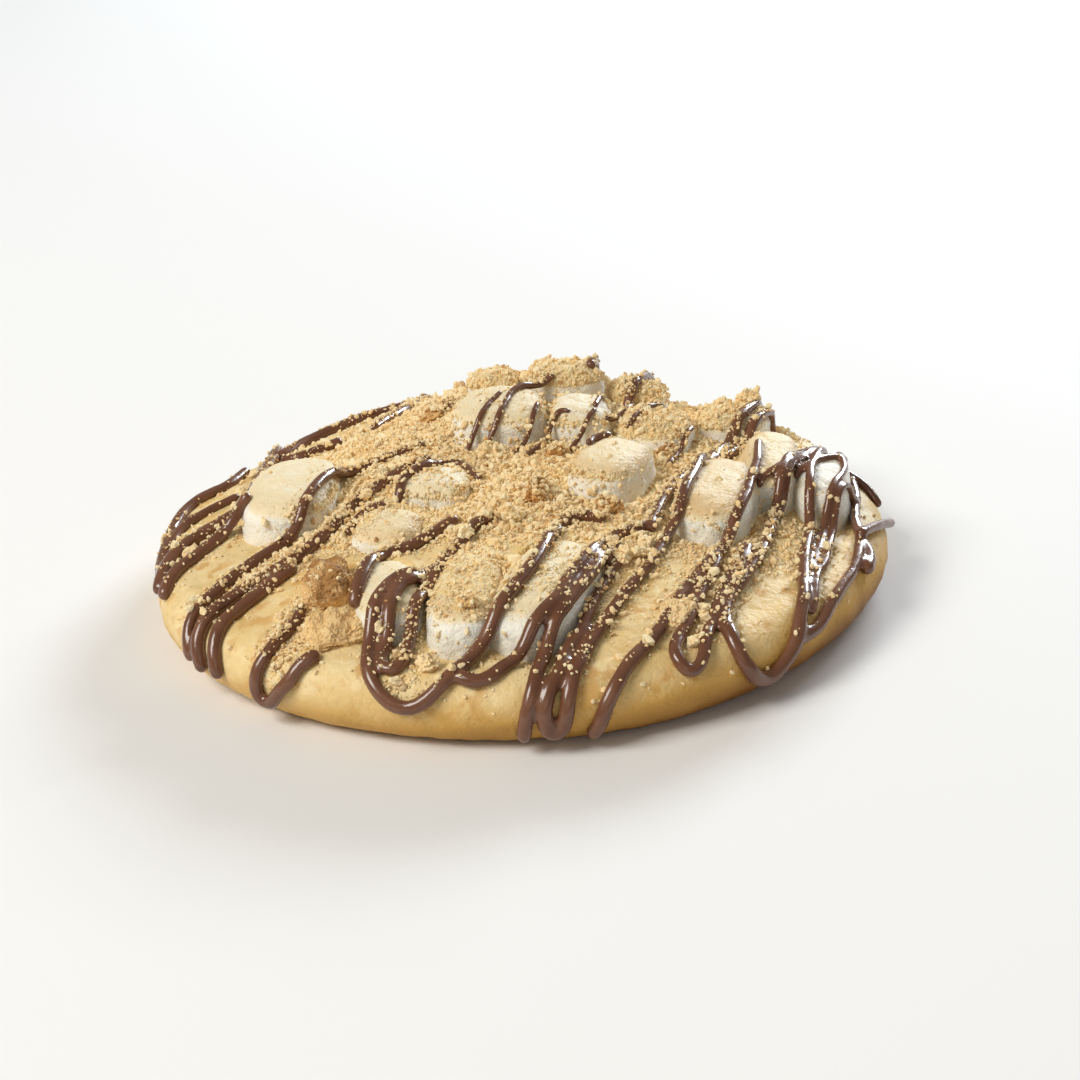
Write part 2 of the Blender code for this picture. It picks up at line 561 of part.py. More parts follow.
def boolean(target, operation, operand):
    """Applies one Boolean to target, with an object or a whole collection."""
    modifier = target.modifiers.new("join", "BOOLEAN")
    modifier.operation = operation
    modifier.solver = "MANIFOLD"
    if isinstance(operand, bpy.types.Collection):
        modifier.operand_type = "COLLECTION"
        modifier.collection = operand
    else:
        modifier.object = operand
    graph = bpy.context.evaluated_depsgraph_get()
    mesh = bpy.data.meshes.new_from_object(target.evaluated_get(graph))
    target.modifiers.clear()
    before = target.data
    target.data = mesh
    bpy.data.meshes.remove(before)


def empty_out(home):
    for obj in list(home.objects):
        bpy.data.objects.remove(obj)


def merged_flat(mesh, left_alone):
    """A bmesh with its flat neighbours merged, except near the places left alone."""
    bm = bmesh.new()
    bm.from_mesh(mesh)
    bmesh.ops.dissolve_degenerate(bm, edges=bm.edges, dist=SHORTEST_EDGE * MM)
    verts = [v for v in bm.verts if all((v.co - spot).length > LEFT_ALONE * MM for spot in left_alone)]
    free = set(verts)
    edges = [e for e in bm.edges if e.verts[0] in free and e.verts[1] in free]
    bmesh.ops.dissolve_limit(bm, angle_limit=math.radians(FLAT_DEGREES), verts=verts, edges=edges)
    bmesh.ops.triangulate(bm, faces=bm.faces)
    return bm


def tidy_mesh(obj):
    """Merges flat neighbours and drops loose scraps and sealed hollows, which share no edge with the rest."""
    left_alone = []
    for _ in range(MERGE_TRIES):
        bm = merged_flat(obj.data, left_alone)
        folded = [e for e in bm.edges if len(e.link_faces) != 2]
        if not folded:
            break
        print(obj.name, "edges folded by merging:", len(folded))
        left_alone += [v.co.copy() for e in folded for v in e.verts]
    left = set(bm.faces)
    bodies = []
    while left:
        body, edge = set(), [left.pop()]
        while edge:
            face = edge.pop()
            body.add(face)
            near = {other for e in face.edges for other in e.link_faces} & left
            left -= near
            edge.extend(near)
        bodies.append(body)
    bodies.sort(key=len, reverse=True)
    for body in bodies[1:]:
        bmesh.ops.delete(bm, geom=list(body), context="FACES")
    bm.to_mesh(obj.data)
    bm.free()


def dress(obj, material_name):
    obj.data.materials.clear()
    obj.data.materials.append(material(material_name))
    obj.data.shade_smooth()
    obj.data.set_sharp_from_angle(angle=math.radians(SHARP_DEGREES))


def build():
    for obj in list(bpy.data.objects):
        bpy.data.objects.remove(obj)
    cookie_parts = collection("smores_cookie")
    toppings = collection("toppings", hidden=True)
    cutters = collection("cutters", hidden=True)

    make_drizzle(toppings)
    make_crumbs(toppings)
    all_toppings = toppings.objects[0].copy()
    all_toppings.data = toppings.objects[0].data.copy()
    cutters.objects.link(all_toppings)
    bpy.data.objects.remove(toppings.objects[0])
    boolean(all_toppings, "UNION", toppings)
    empty_out(toppings)
    corners = [(-FLOOR_BLOCK, -FLOOR_BLOCK), (FLOOR_BLOCK, -FLOOR_BLOCK)]
    corners += [(-x, -y) for x, y in corners]
    floor_block = prism(corners, -FLOOR_BLOCK, DRIZZLE_FLOOR, "floor_block", cutters)
    boolean(all_toppings, "DIFFERENCE", floor_block)
    bpy.data.objects.remove(floor_block)

    cookie = make_dough(cookie_parts)
    boolean(cookie, "UNION", all_toppings)
    pockets = collection("pockets", hidden=True)
    for puff in PUFFS:
        puff_prism(puff, GAP, puff_bottom(puff) - GAP, "pocket", pockets)
    for chunk in CHUNKS:
        chunk_prism(chunk, pockets)
    boolean(cookie, "DIFFERENCE", pockets)
    empty_out(pockets)
    tidy_mesh(cookie)
    dress(cookie, "dough")

    for number, puff in enumerate(PUFFS, 1):
        body = make_puff(puff, f"marshmallow_{number}", cookie_parts)
        own_block = puff_prism(puff, 0.0, puff_bottom(puff), "own_block", cutters)
        boolean(own_block, "INTERSECT", all_toppings)
        boolean(body, "UNION", own_block)
        for other in PUFFS[: number - 1]:
            if meet(puff, other):
                puff_prism(other, GAP, 0.0, "neighbour", pockets)
        for chunk in CHUNKS:
            if meet(puff, chunk):
                chunk_prism(chunk, pockets)
        if pockets.objects:
            boolean(body, "DIFFERENCE", pockets)
            empty_out(pockets)
        bpy.data.objects.remove(own_block)
        tidy_mesh(body)
        dress(body, "marshmallow")

    for number, chunk in enumerate(CHUNKS, 1):
        dress(make_chunk(chunk, f"cracker_chunk_{number}", cookie_parts), "cracker")
    bpy.data.objects.remove(all_toppings)


build()
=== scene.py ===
# %% [markdown]
# # A s'mores cookie, from plain solids to something that looks freshly topped
# The solid model of the cookie already exists: a dough dome, marshmallows in their pockets, chunks of
# cracker, and the thick drizzle and largest crumbs as faceted shapes. This lesson loads it as a fixed
# frame and dresses it. Each solid gets a finer piece of the same form, then the things that are too small
# for a solid are added.

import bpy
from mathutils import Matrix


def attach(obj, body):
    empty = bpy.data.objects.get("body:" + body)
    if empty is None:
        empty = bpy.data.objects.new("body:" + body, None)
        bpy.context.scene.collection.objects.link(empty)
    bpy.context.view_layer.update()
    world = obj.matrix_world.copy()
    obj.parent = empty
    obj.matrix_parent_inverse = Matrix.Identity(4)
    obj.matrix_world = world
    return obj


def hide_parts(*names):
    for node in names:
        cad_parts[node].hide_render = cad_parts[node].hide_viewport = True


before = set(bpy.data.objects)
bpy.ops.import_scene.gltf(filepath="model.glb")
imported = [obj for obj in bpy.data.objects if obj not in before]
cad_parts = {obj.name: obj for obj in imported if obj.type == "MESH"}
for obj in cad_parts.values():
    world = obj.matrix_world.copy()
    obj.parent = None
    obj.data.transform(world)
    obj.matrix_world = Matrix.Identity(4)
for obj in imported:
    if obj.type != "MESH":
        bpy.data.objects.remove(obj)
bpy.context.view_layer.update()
print("solid nodes:", len(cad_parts))

# %% Tools and units
import math
import random
from collections import namedtuple

import bmesh
import bpy
import numpy as np
from mathutils import Matrix, Vector, noise
from mathutils.bvhtree import BVHTree
from mathutils.kdtree import KDTree

MM = 0.001
UPWARD = Vector((0, 0, 1))
# The shapes are drawn round the middle of the dough, then moved so that the whole cookie is centred.
SHIFT = Vector((-1.4, -0.2, 0.0))
print("one drawing unit is", MM, "m")

# %% [markdown]
# ## The camera
# The photograph looks down at the cookie by about 25 degrees from 29 cm away, a little rolled. We build
# the camera first, because every later choice of colour and shape is judged through it. A matrix made of
# the camera's own right, up and backward directions is the clearest way to place it with a roll.

# %% Place the camera
CAMERA_ELEVATION = math.radians(25.5)
CAMERA_DISTANCE = 290.0
CAMERA_ROLL = math.radians(1.95)
CAMERA_AIM = Vector((3.4, 0.0, 5.0))
SENSOR_WIDTH = 36.0
LENS = 68.87
NEAREST_SEEN = 0.01


def place_camera():
    eye = Vector((0, -math.cos(CAMERA_ELEVATION), math.sin(CAMERA_ELEVATION))) * CAMERA_DISTANCE
    forward = (CAMERA_AIM - eye).normalized()
    level = forward.cross(UPWARD).normalized()
    upright = level.cross(forward)
    right = level * math.cos(CAMERA_ROLL) - upright * math.sin(CAMERA_ROLL)
    up = level * math.sin(CAMERA_ROLL) + upright * math.cos(CAMERA_ROLL)
    data = bpy.data.cameras.new("camera")
    data.sensor_width = SENSOR_WIDTH
    data.lens = LENS
    data.clip_start = NEAREST_SEEN
    camera = bpy.data.objects.new("camera", data)
    bpy.context.scene.collection.objects.link(camera)
    turn = Matrix((right, up, -forward)).transposed().to_4x4()
    camera.matrix_world = Matrix.Translation((eye + SHIFT) * MM) @ turn
    bpy.context.scene.camera = camera
    return camera


camera = place_camera()
bpy.context.scene.view_settings.view_transform = "Standard"
print("camera at", [round(c, 3) for c in camera.location])

# %% [markdown]
# ## The form of the dough
# A soft-baked cookie is a low dome that slumped into a round rim, so its outline is a circle with slow
# waves. These functions are the same ones that shaped the solid, which keeps the finer pieces in place.

# %% Dough outline
MEAN_RADIUS = 50.0
# Waves round the edge: how many go round, then the shares of the radius that each adds.
EDGE_WAVES = ((2, -0.005, 0.0), (3, 0.009, -0.015), (4, 0.014, 0.0), (5, 0.008, 0.006))
# Dents in the edge: depth, then the middle and the width in degrees.
DENTS = ((3.1, 147.0, 17.0), (0.9, 185.0, 11.0))
RIM_SHARE = 0.10
RIM_HALF_HEIGHT = 4.6
RIM_SWELL = 1.3
RIM_SWELL_ANGLE = 30.0
RIM_SWELL_WIDTH = 22.0


def bearing(angle):
    """Level direction at an angle round the cookie."""
    return Vector((math.cos(angle), math.sin(angle), 0))


def hump(angle, centre_degrees, width_degrees):
    """A smooth bump of height 1 round one side of the cookie."""
    away = (math.degrees(angle) - centre_degrees + 180) % 360 - 180
    return math.exp(-((away / width_degrees) ** 2))


def edge_radius(angle):
    waves = sum(c * math.cos(n * angle) + s * math.sin(n * angle) for n, c, s in EDGE_WAVES)
    dents = sum(depth * hump(angle, middle, width) for depth, middle, width in DENTS)
    return MEAN_RADIUS * (1 + waves) - dents


def rim_half_height(angle):
    return RIM_HALF_HEIGHT + RIM_SWELL * hump(angle, RIM_SWELL_ANGLE, RIM_SWELL_WIDTH)


print("radius at the front:", round(edge_radius(-math.pi / 2), 2), "mm")

# %% Dough height
CENTRE_HEIGHT = 16.5
MOUND_HEIGHT = 4.0
MOUND_MIDDLE = (5.0, 22.0)
MOUND_REACH = (20.0, 12.0)
BUMP_SIZE = 11.0
BUMP_HEIGHT = 0.45


def dough_height(x, y):
    """Height of the domed top, which is level with the top of the rim at nine tenths of the radius."""
    angle = math.atan2(y, x)
    share = min(math.hypot(x, y) / (edge_radius(angle) * (1 - RIM_SHARE)), 1.0)
    rim_top = 2 * rim_half_height(angle)
    bump = BUMP_HEIGHT * (1 - share**4) * noise.noise(Vector((x / BUMP_SIZE, y / BUMP_SIZE, 0)))
    away = math.hypot((x - MOUND_MIDDLE[0]) / MOUND_REACH[0], (y - MOUND_MIDDLE[1]) / MOUND_REACH[1])
    mound = MOUND_HEIGHT * (1 - share**4) * math.exp(-(away**2))
    return rim_top + (CENTRE_HEIGHT - rim_top) * (1 - share**2) + mound + bump


def skin(x, y):
    """Point on the dough and its outward direction, for a place on the rolled-out plan."""
    angle = math.atan2(y, x)
    radius = math.hypot(x, y)
    flat = edge_radius(angle) * (1 - RIM_SHARE)
    if radius <= flat:
        return Vector((x, y, dough_height(x, y))), UPWARD
    out = bearing(angle)
    half = rim_half_height(angle)
    width = edge_radius(angle) * RIM_SHARE
    over = min((radius - flat) / (0.5 * (width + half)), math.pi)
    point = out * (flat + width * math.sin(over)) + Vector((0, 0, half + half * math.cos(over)))
    return point, out * math.sin(over) + Vector((0, 0, math.cos(over)))


print("dough height at the middle:", round(dough_height(0, 0), 2), "mm")

# %% [markdown]
# ## The form of the marshmallows
# Each marshmallow was a small cylinder that puffed up, went square at its corners and sank into the
# dough. A superellipse gives the rounded square, and a shoulder curve brings the sides over into the top.
# The last three numbers of each row are how toasted it is, how much powder lies on it and how many loose
# crumbs.

# %% Choose the marshmallows
Puff = namedtuple("Puff", "x y half_width half_length turn top toast dust lumps")
PUFFS = (
    Puff(-30.2, -2.2, 6.4, 9.6, -4, 16.8, 0.45, 0.05, 0.05),
    Puff(-10.8, -5.5, 5.4, 4.8, -10, 17.8, 0.40, 0.30, 0.25),
    Puff(-1.6, 13.2, 6.8, 6.4, -6, 21.4, 0.50, 0.03, 0.03),
    Puff(9.9, 12.2, 4.4, 5.4, -10, 20.6, 0.30, 0.05, 0.05),
    Puff(13.4, -4.0, 5.0, 6.8, -28, 19.8, 0.75, 0.10, 0.05),
    Puff(-6.4, -33.2, 4.5, 8.8, -8, 15.2, 0.90, 0.95, 0.35),
    Puff(-16.2, -31.0, 4.4, 7.2, 8, 14.4, 0.45, 0.20, 0.15),
    Puff(3.6, -31.8, 5.8, 11.2, -24, 15.4, 0.50, 0.70, 0.25),
    Puff(-16.5, -15.5, 4.8, 4.6, -20, 16.2, 0.70, 0.85, 0.40),
    Puff(27.2, -9.0, 5.2, 10.2, -20, 17.2, 0.90, 0.15, 0.08),
    Puff(35.6, 1.2, 4.1, 9.2, -12, 17.0, 0.80, 0.30, 0.05),
    Puff(42.4, -1.6, 3.8, 8.0, -12, 15.0, 0.10, 0.00, 0.00),
    Puff(8.3, 23.8, 5.6, 5.2, 4, 22.6, 0.80, 0.95, 0.22),
    Puff(20.4, 11.4, 5.4, 5.6, -20, 18.6, 0.60, 0.80, 0.50),
    Puff(32.3, 17.2, 5.2, 5.6, -20, 17.0, 0.60, 0.80, 0.50),
    Puff(-2.4, 25.6, 3.9, 4.6, 4, 21.0, 0.60, 0.90, 0.40),
    Puff(18.9, 25.0, 4.5, 4.8, -10, 18.8, 0.60, 0.90, 0.25),
)
print("marshmallows:", len(PUFFS))

# %% Marshmallow shape
PUFF_CORNER = 2.8
PUFF_SHOULDER = 2.6
PUFF_SHOULDER_POWER = 5
PUFF_SINK = 3.2
PUFF_TILT = 0.5


def shares_across(form, x, y):
    """How far a place lies across and along a turned form, in half widths and half lengths."""
    turn = math.radians(form.turn)
    across = ((x - form.x) * math.cos(turn) + (y - form.y) * math.sin(turn)) / form.half_width
    along = ((y - form.y) * math.cos(turn) - (x - form.x) * math.sin(turn)) / form.half_length
    return across, along


def puff_share(puff, x, y):
    """0 in the middle of a marshmallow and 1 on its outline."""
    across, along = shares_across(puff, x, y)
    return (abs(across) ** PUFF_CORNER + abs(along) ** PUFF_CORNER) ** (1 / PUFF_CORNER)


def puff_height(puff, x, y):
    """Height of a marshmallow's top, which leans a little with the dome under it."""
    share = min(puff_share(puff, x, y), 1.0)
    lean = PUFF_TILT * (dough_height(x, y) - dough_height(puff.x, puff.y))
    return puff.top + lean - PUFF_SHOULDER * (1 - math.sqrt(1 - share**PUFF_SHOULDER_POWER))


def puff_outline(puff, angle):
    """Point of a marshmallow's outline, seen from above, in the direction of an angle."""
    c, s = math.cos(angle), math.sin(angle)
    reach = (abs(c) ** PUFF_CORNER + abs(s) ** PUFF_CORNER) ** (-1 / PUFF_CORNER)
    across, along = reach * c * puff.half_width, reach * s * puff.half_length
    turn = math.radians(puff.turn)
    x = puff.x + across * math.cos(turn) - along * math.sin(turn)
    y = puff.y + across * math.sin(turn) + along * math.cos(turn)
    return x, y


def rise_above_dough(x, y):
    """How far the marshmallows stand above the dough at a point."""
    tops = [puff_height(puff, x, y) for puff in PUFFS if puff_share(puff, x, y) < 1]
    return max([top - dough_height(x, y) for top in tops] + [0.0])


print("the first one rises by:", round(rise_above_dough(PUFFS[0].x, PUFFS[0].y), 2), "mm")

# %% [markdown]
# ## Where the drizzle runs
# The chocolate was swept to and fro over the cookie from a spoon, so it makes long strands with tight
# loops at their ends. They could be drawn as curve objects, but rows of points let one function lay them
# on the dome, pull them taut over the marshmallows and thicken them. Each row is one sweep: radii spread
# evenly along it, then points on the cookie seen from above, with the rim rolled out flat.

# %% Strands on the left
LEFT_STRANDS = (
    ((0.8, 1.0), (
        (-39, 18), (-41, 13), (-43, 10.5), (-45, 8), (-46.3, 5), (-47.2, 1), (-47.6, -4), (-47.8, -9),
        (-47.2, -13))),
    ((1.0, 1.1), (
        (-35, 27), (-35.5, 19), (-36, 11), (-36.3, 4), (-37.5, -1), (-40, -3.5), (-43, -5.5), (-45, -8.5),
        (-46.4, -12), (-47.2, -15.5))),
    ((0.9, 1.0), ((-36, -6), (-38.5, -7), (-40.5, -9), (-42.5, -11.5), (-44.5, -14.5), (-46, -18))),
    ((0.7, 0.8), ((-39, 5), (-42, 3.5), (-44.5, 1.5), (-46.2, -2), (-47.4, -7))),
    ((1.0, 1.0), ((-12, 41), (-22, 36), (-30, 29), (-34, 23))),
    ((0.9, 0.9), ((-25.5, 20), (-27.5, 19.3), (-29.5, 18.2), (-31.2, 17.5), (-33, 18.5))),
)
print("sweeps on the left:", len(LEFT_STRANDS))

# %% Strands at the front left
FRONT_LEFT_STRANDS = (
    ((0.7, 1.0), (
        (-13, 9), (-19, 5), (-23, 1.5), (-25.5, -4), (-27.2, -9), (-29.5, -14), (-34, -18), (-38, -22),
        (-41.2, -27), (-42.8, -31))),
    ((0.8, 1.1), (
        (-12, 3), (-17.5, -2.5), (-21.5, -8.5), (-24.5, -14), (-28, -19), (-32, -22.5), (-36.5, -25.5),
        (-40, -30), (-41.5, -33.5))),
    ((1.0, 1.0), ((-29, -22), (-33, -26), (-36.5, -30), (-39, -36))),
    ((0.8, 1.0), (
        (-27, -31), (-27.5, -33), (-29.2, -35.7), (-30.5, -37.7), (-32.2, -39.3), (-33.7, -41.3),
        (-33.7, -42.5), (-32.5, -43.4), (-30, -42.8), (-28, -42.2), (-26.6, -41.2), (-24.9, -40.3))),
)
print("sweeps at the front left:", len(FRONT_LEFT_STRANDS))

# %% Long loops at the front
FRONT_STRANDS = (
    ((0.7, 0.7), (
        (-15.4, -9.6), (-14.6, -6.2), (-13.2, -4.2), (-11.6, -2.2), (-10, 0), (-8.6, 0.9), (-7, 0.4),
        (-5.8, -1.8), (-4.8, -4))),
    ((0.8, 1.0), (
        (-8, -16.5), (-10.5, -19), (-13, -21), (-15.5, -22.3), (-17.4, -24), (-18.5, -27), (-19.3, -30),
        (-20, -33.5))),
    ((0.9, 1.0, 0.9), (
        (-3, -16.5), (-5, -18), (-7, -22), (-8.5, -25), (-11, -28.2), (-12.8, -29.8), (-14.5, -31),
        (-15.7, -32.5), (-16.6, -34.2), (-17.3, -36), (-17.9, -38.5), (-18.2, -41), (-18, -44),
        (-17, -46.6), (-15.5, -48.4), (-13.5, -49.2), (-11.3, -48.7), (-9, -47), (-7.2, -45.3), (-5.3, -43),
        (-3.6, -41), (-2, -38.6), (-0.2, -35.5), (1.8, -31.4), (3.5, -26.5), (4.5, -22.5), (6, -18.5),
        (8, -16.5), (11, -17))),
    ((0.9, 0.9), (
        (-10.5, -27.5), (-12.8, -31), (-14.2, -32.6), (-15, -34.5), (-15.6, -37), (-16, -40), (-16.6, -42),
        (-16.2, -43.8), (-15, -44.3), (-13.9, -43), (-13.3, -40), (-12.6, -36.2), (-11.6, -33.2),
        (-9.8, -29.5))),
    ((1.0, 0.8), (
        (-6.8, -46.8), (-5.3, -47.4), (-3.5, -46.9), (-1.8, -45.5), (0, -44), (1.5, -42.3), (2.9, -40.6),
        (4.7, -38.1), (6, -35), (7.4, -31.8), (9.2, -28), (10.8, -24.4), (12.5, -21.4), (14.8, -19.4),
        (17.6, -17.6))),
    ((1.0, 0.9), (
        (0.1, -54.2), (0.4, -52), (1.1, -49.5), (2, -46.4), (2.7, -44.6), (3.5, -42.6), (4.5, -40.8),
        (5.8, -38.7), (7.3, -35.8), (8.7, -33), (9.9, -30), (10.8, -27.3), (11.9, -25.2), (13, -23.6))),
    ((0.75, 1.05, 0.75, 0.8, 0.8), (
        (13, -26.3), (12, -28.2), (11.1, -30.3), (10.2, -32.5), (9.2, -34.8), (8.2, -37.5), (7.4, -40),
        (5.7, -43), (5.1, -45), (4.5, -46.8), (3.5, -48.4), (2.8, -50.2), (2.7, -52), (3.1, -53.4),
        (4, -54), (4.9, -53.3), (5.3, -51.6), (5.5, -49.8), (6.1, -47.4), (7, -45.3), (8.3, -42.3),
        (9.7, -39.6), (10.9, -37.2), (12.1, -34.9), (13.3, -32.6), (14.5, -30.7), (15.8, -28.5),
        (17, -26.4), (18.2, -23.5), (19.2, -20.8), (20.3, -18.4), (21.3, -16.8), (22.1, -14.4), (23, -11.2),
        (24.3, -7.5), (25.8, -2), (27.5, 3.5), (30.5, 9), (33.5, 14.5), (36, 20), (37, 26))),
    ((0.9, 0.8), (
        (17.6, -18), (18.9, -13.3), (20, -10), (21, -7.6), (22.3, -4.8), (24.2, -1.2), (26.5, 2), (29.5, 5),
        (32.5, 9), (35.5, 14), (38, 19))),
    ((1.0, 0.9, 0.7), (
        (9.2, -54), (9.5, -53), (10, -50.7), (10.6, -49.1), (11.5, -47.4), (12.7, -45.4), (14, -43.6),
        (15.3, -41.8), (16.8, -39.5), (17.7, -37.7), (18.8, -35.5), (20, -33), (21.4, -30.7), (22.7, -28.4),
        (23.9, -26), (25.2, -23.9), (26.4, -21.9), (27.3, -20), (28.2, -18.2), (29.2, -16.2), (30.1, -14),
        (30.8, -12), (31.4, -9.5), (32.4, -6.2), (33.2, -3.4), (34, 2))),
    ((0.9, 0.9), (
        (25.5, -24.5), (24.3, -27.8), (23.2, -30.3), (22.3, -32.8), (21.4, -35), (20.3, -38), (19.2, -40.5),
        (18.5, -42.6), (18.8, -44), (19.8, -45), (21, -44.6), (21.8, -43), (22.4, -40.4), (23.2, -38),
        (24.1, -35.3), (25, -32.7), (25.8, -30.3), (26.8, -27.8), (28.2, -25), (29.8, -20.5))),
)
print("sweeps at the front:", len(FRONT_STRANDS))

# %% Strands on the right
RIGHT_STRANDS = (
    ((0.6, 1.1, 0.6), (
        (43, 7), (39.5, 1), (37.6, -2), (36.7, -4.5), (36, -6.8), (35.2, -9.2), (34.2, -12.6),
        (33.3, -15.8), (32.5, -18.5), (31.5, -21.2), (30.4, -23.5), (29.2, -26), (27.9, -28.7),
        (26.7, -30.8), (25.8, -33), (25.3, -35.3), (25.3, -38), (25.8, -40), (26.7, -41.6), (28, -42.5),
        (29.6, -43), (31.2, -42.8), (32.7, -41.7), (33.6, -39.7), (34.2, -37.9), (34.6, -36), (34.7, -34.2),
        (35.1, -32), (35.7, -29.6), (36.1, -27.5), (36.7, -24.3), (37.1, -21.3), (38, -17.2), (39, -13.1),
        (39.6, -8.5), (40.2, -5), (41, -1.5), (43, 4), (44.5, 8))),
    ((0.6, 0.6), (
        (45.5, 6), (45.6, 0), (44.7, -3.5), (43.4, -6.2), (42.3, -8.8), (41.1, -11.8), (39.9, -16),
        (38.8, -19.8), (37.6, -22.9))),
    ((0.6, 0.7), (
        (47.5, 6), (47.4, 1), (46.4, -3), (45, -5.4), (43.6, -8), (42.7, -10.4), (41.7, -14), (40.7, -17.4),
        (39.8, -20.7), (38.6, -23.2), (37.8, -25.9), (37.3, -28.6), (36.6, -31.2))),
    ((0.7, 0.9), (
        (47.5, 4), (47.3, 0), (46.6, -4), (45.9, -8), (45.7, -12), (44.8, -16.5), (43.4, -21), (41.4, -25),
        (39.5, -29), (38, -32.6), (36.5, -34.5), (35, -36))),
    ((0.7, 0.8), ((40, 3), (43.5, 6.5), (47, 6.5), (49.5, 5), (51.5, 3))),
    ((0.7, 1.1), ((45.6, -13.2), (46.2, -15), (46.3, -17), (45.6, -19))),
)
print("sweeps on the right:", len(RIGHT_STRANDS))

# %% Strands at the back
BACK_STRANDS = (
    ((0.8, 1.0), ((-20, 22), (-16, 32), (-14, 42), (-13, 51))),
    ((0.8, 1.0), ((-9, 21), (-9, 31), (-8, 41), (-10, 51))),
    ((0.8, 1.0), ((1, 20), (3, 30), (4, 40), (3, 51))),
    ((0.8, 1.0), ((12, 22), (13, 32), (12, 42), (10, 52))),
    ((0.8, 1.0), ((17, 19), (21, 29), (23, 38), (23, 48))),
    ((0.8, 1.0), ((36, 24), (38, 30), (39, 36))),
)
print("sweeps at the back:", len(BACK_STRANDS))

# %% Thin strands on the right and in the middle
THIN_STRANDS = (
    ((0.6, 0.7), ((33, -7.5), (36, -5), (39, -1), (43, 6))),
    ((0.6, 0.5), ((38.5, -1), (37.8, -3.5), (37, -6), (36.2, -8.5), (35.2, -10.8))),
    ((0.6, 0.6), ((38.4, -4), (40, -2.2), (42, 0), (44, 1.6), (46, 2.5))),
    ((0.6, 0.6), ((-21.8, -15), (-20.8, -13.3), (-19.5, -12.3), (-18, -11.8), (-16.9, -11.5))),
    ((0.45, 0.5), ((-1.4, 14.2), (-2.9, 11.4), (-4.2, 8.4), (-5.3, 6.8), (-6.2, 5.2))),
    ((0.6, 0.5), ((6, 19), (3.4, 17.5), (0.5, 14.4), (-0.8, 10.6), (-1.8, 7.8), (-2.8, 6.3), (-4, 4.8))),
    ((0.45, 0.5), ((3.8, 11.2), (2.9, 7.8), (2, 5.8), (0.6, 3.4))),
    ((0.45, 0.5), ((8, 9.2), (6.9, 9.5), (5.7, 8.2), (4.7, 5.9), (3.6, 4.2), (2.2, 2.4))),
    ((0.45, 0.45), ((11.8, 9.6), (10.6, 7.4), (9.7, 6), (8.7, 4.6), (8, 3.4))),
    ((0.5, 0.5), ((14, 18.6), (12.8, 14), (12, 11))),
    ((0.5, 0.5), ((17.8, 16.4), (15.8, 12.8), (13.6, 9.6))),
    ((0.5, 0.5), ((22.6, 17), (18.6, 12), (16.4, 8.2))),
    ((0.5, 0.5), ((25.6, 10.4), (23.4, 5), (21.6, 1.2))),
    ((0.6, 0.6), ((13.2, 1), (11.2, -0.5), (10.5, -2))),
)
DRIZZLE = LEFT_STRANDS + FRONT_LEFT_STRANDS + FRONT_STRANDS + RIGHT_STRANDS + BACK_STRANDS + THIN_STRANDS
print("sweeps of chocolate:", len(DRIZZLE))

# %% Strand lines
DRIZZLE_SINK = 0.45
STRAND_STEP = 0.5
TAUT_PASSES = 14


def smooth_way(points):
    """Evenly spaced points along a smooth curve through the given ones."""
    p = [Vector(q).to_3d() for q in points]
    p = [2 * p[0] - p[1]] + p + [2 * p[-1] - p[-2]]
    way = []
    for a, b, c, d in zip(p, p[1:], p[2:], p[3:]):
        steps = max(2, round((c - b).length / STRAND_STEP))
        for k in range(steps):
            t = k / steps
            bend = (2 * a - 5 * b + 4 * c - d) * t**2 + (3 * b - a - 3 * c + d) * t**3
            way.append(0.5 * (2 * b + (c - a) * t + bend))
    way.append(p[-2])
    return way


def radius_along(radii, share):
    """Radius at a share of the way along a strand, between the evenly spread ones."""
    spot = share * (len(radii) - 1)
    k = min(int(spot), len(radii) - 2)
    return radii[k] + (radii[k + 1] - radii[k]) * (spot - k)


def strand_line(points, radii):
    """Centre, outward direction and radius along a strand, which hangs taut over the marshmallows."""
    way = smooth_way(points)
    rise = [rise_above_dough(q.x, q.y) for q in way]
    bare = list(rise)
    for _ in range(TAUT_PASSES):
        inner = [max(bare[k], (rise[k - 1] + rise[k + 1]) / 2) for k in range(1, len(rise) - 1)]
        rise = [rise[0]] + inner + [rise[-1]]
    line = []
    for k, q in enumerate(way):
        radius = radius_along(radii, k / (len(way) - 1))
        point, outward = skin(q.x, q.y)
        line.append((point + outward * (rise[k] + radius * (1 - DRIZZLE_SINK)), outward, radius))
    return line


strands = [strand_line(points, radii) for radii, points in DRIZZLE]
print("strands:", len(strands), "with", sum(len(line) for line in strands), "points")

# %% [markdown]
# ## Where the crumbs fall
# Crushed cracker was thrown over the middle, so it is thickest there and between the marshmallows, it
# clings to the chocolate, and the front and the left of the rim stay nearly bare. Soft round patches,
# each with a middle, a half width, a half length, a turn and a weight, describe that better than any
# single rule.

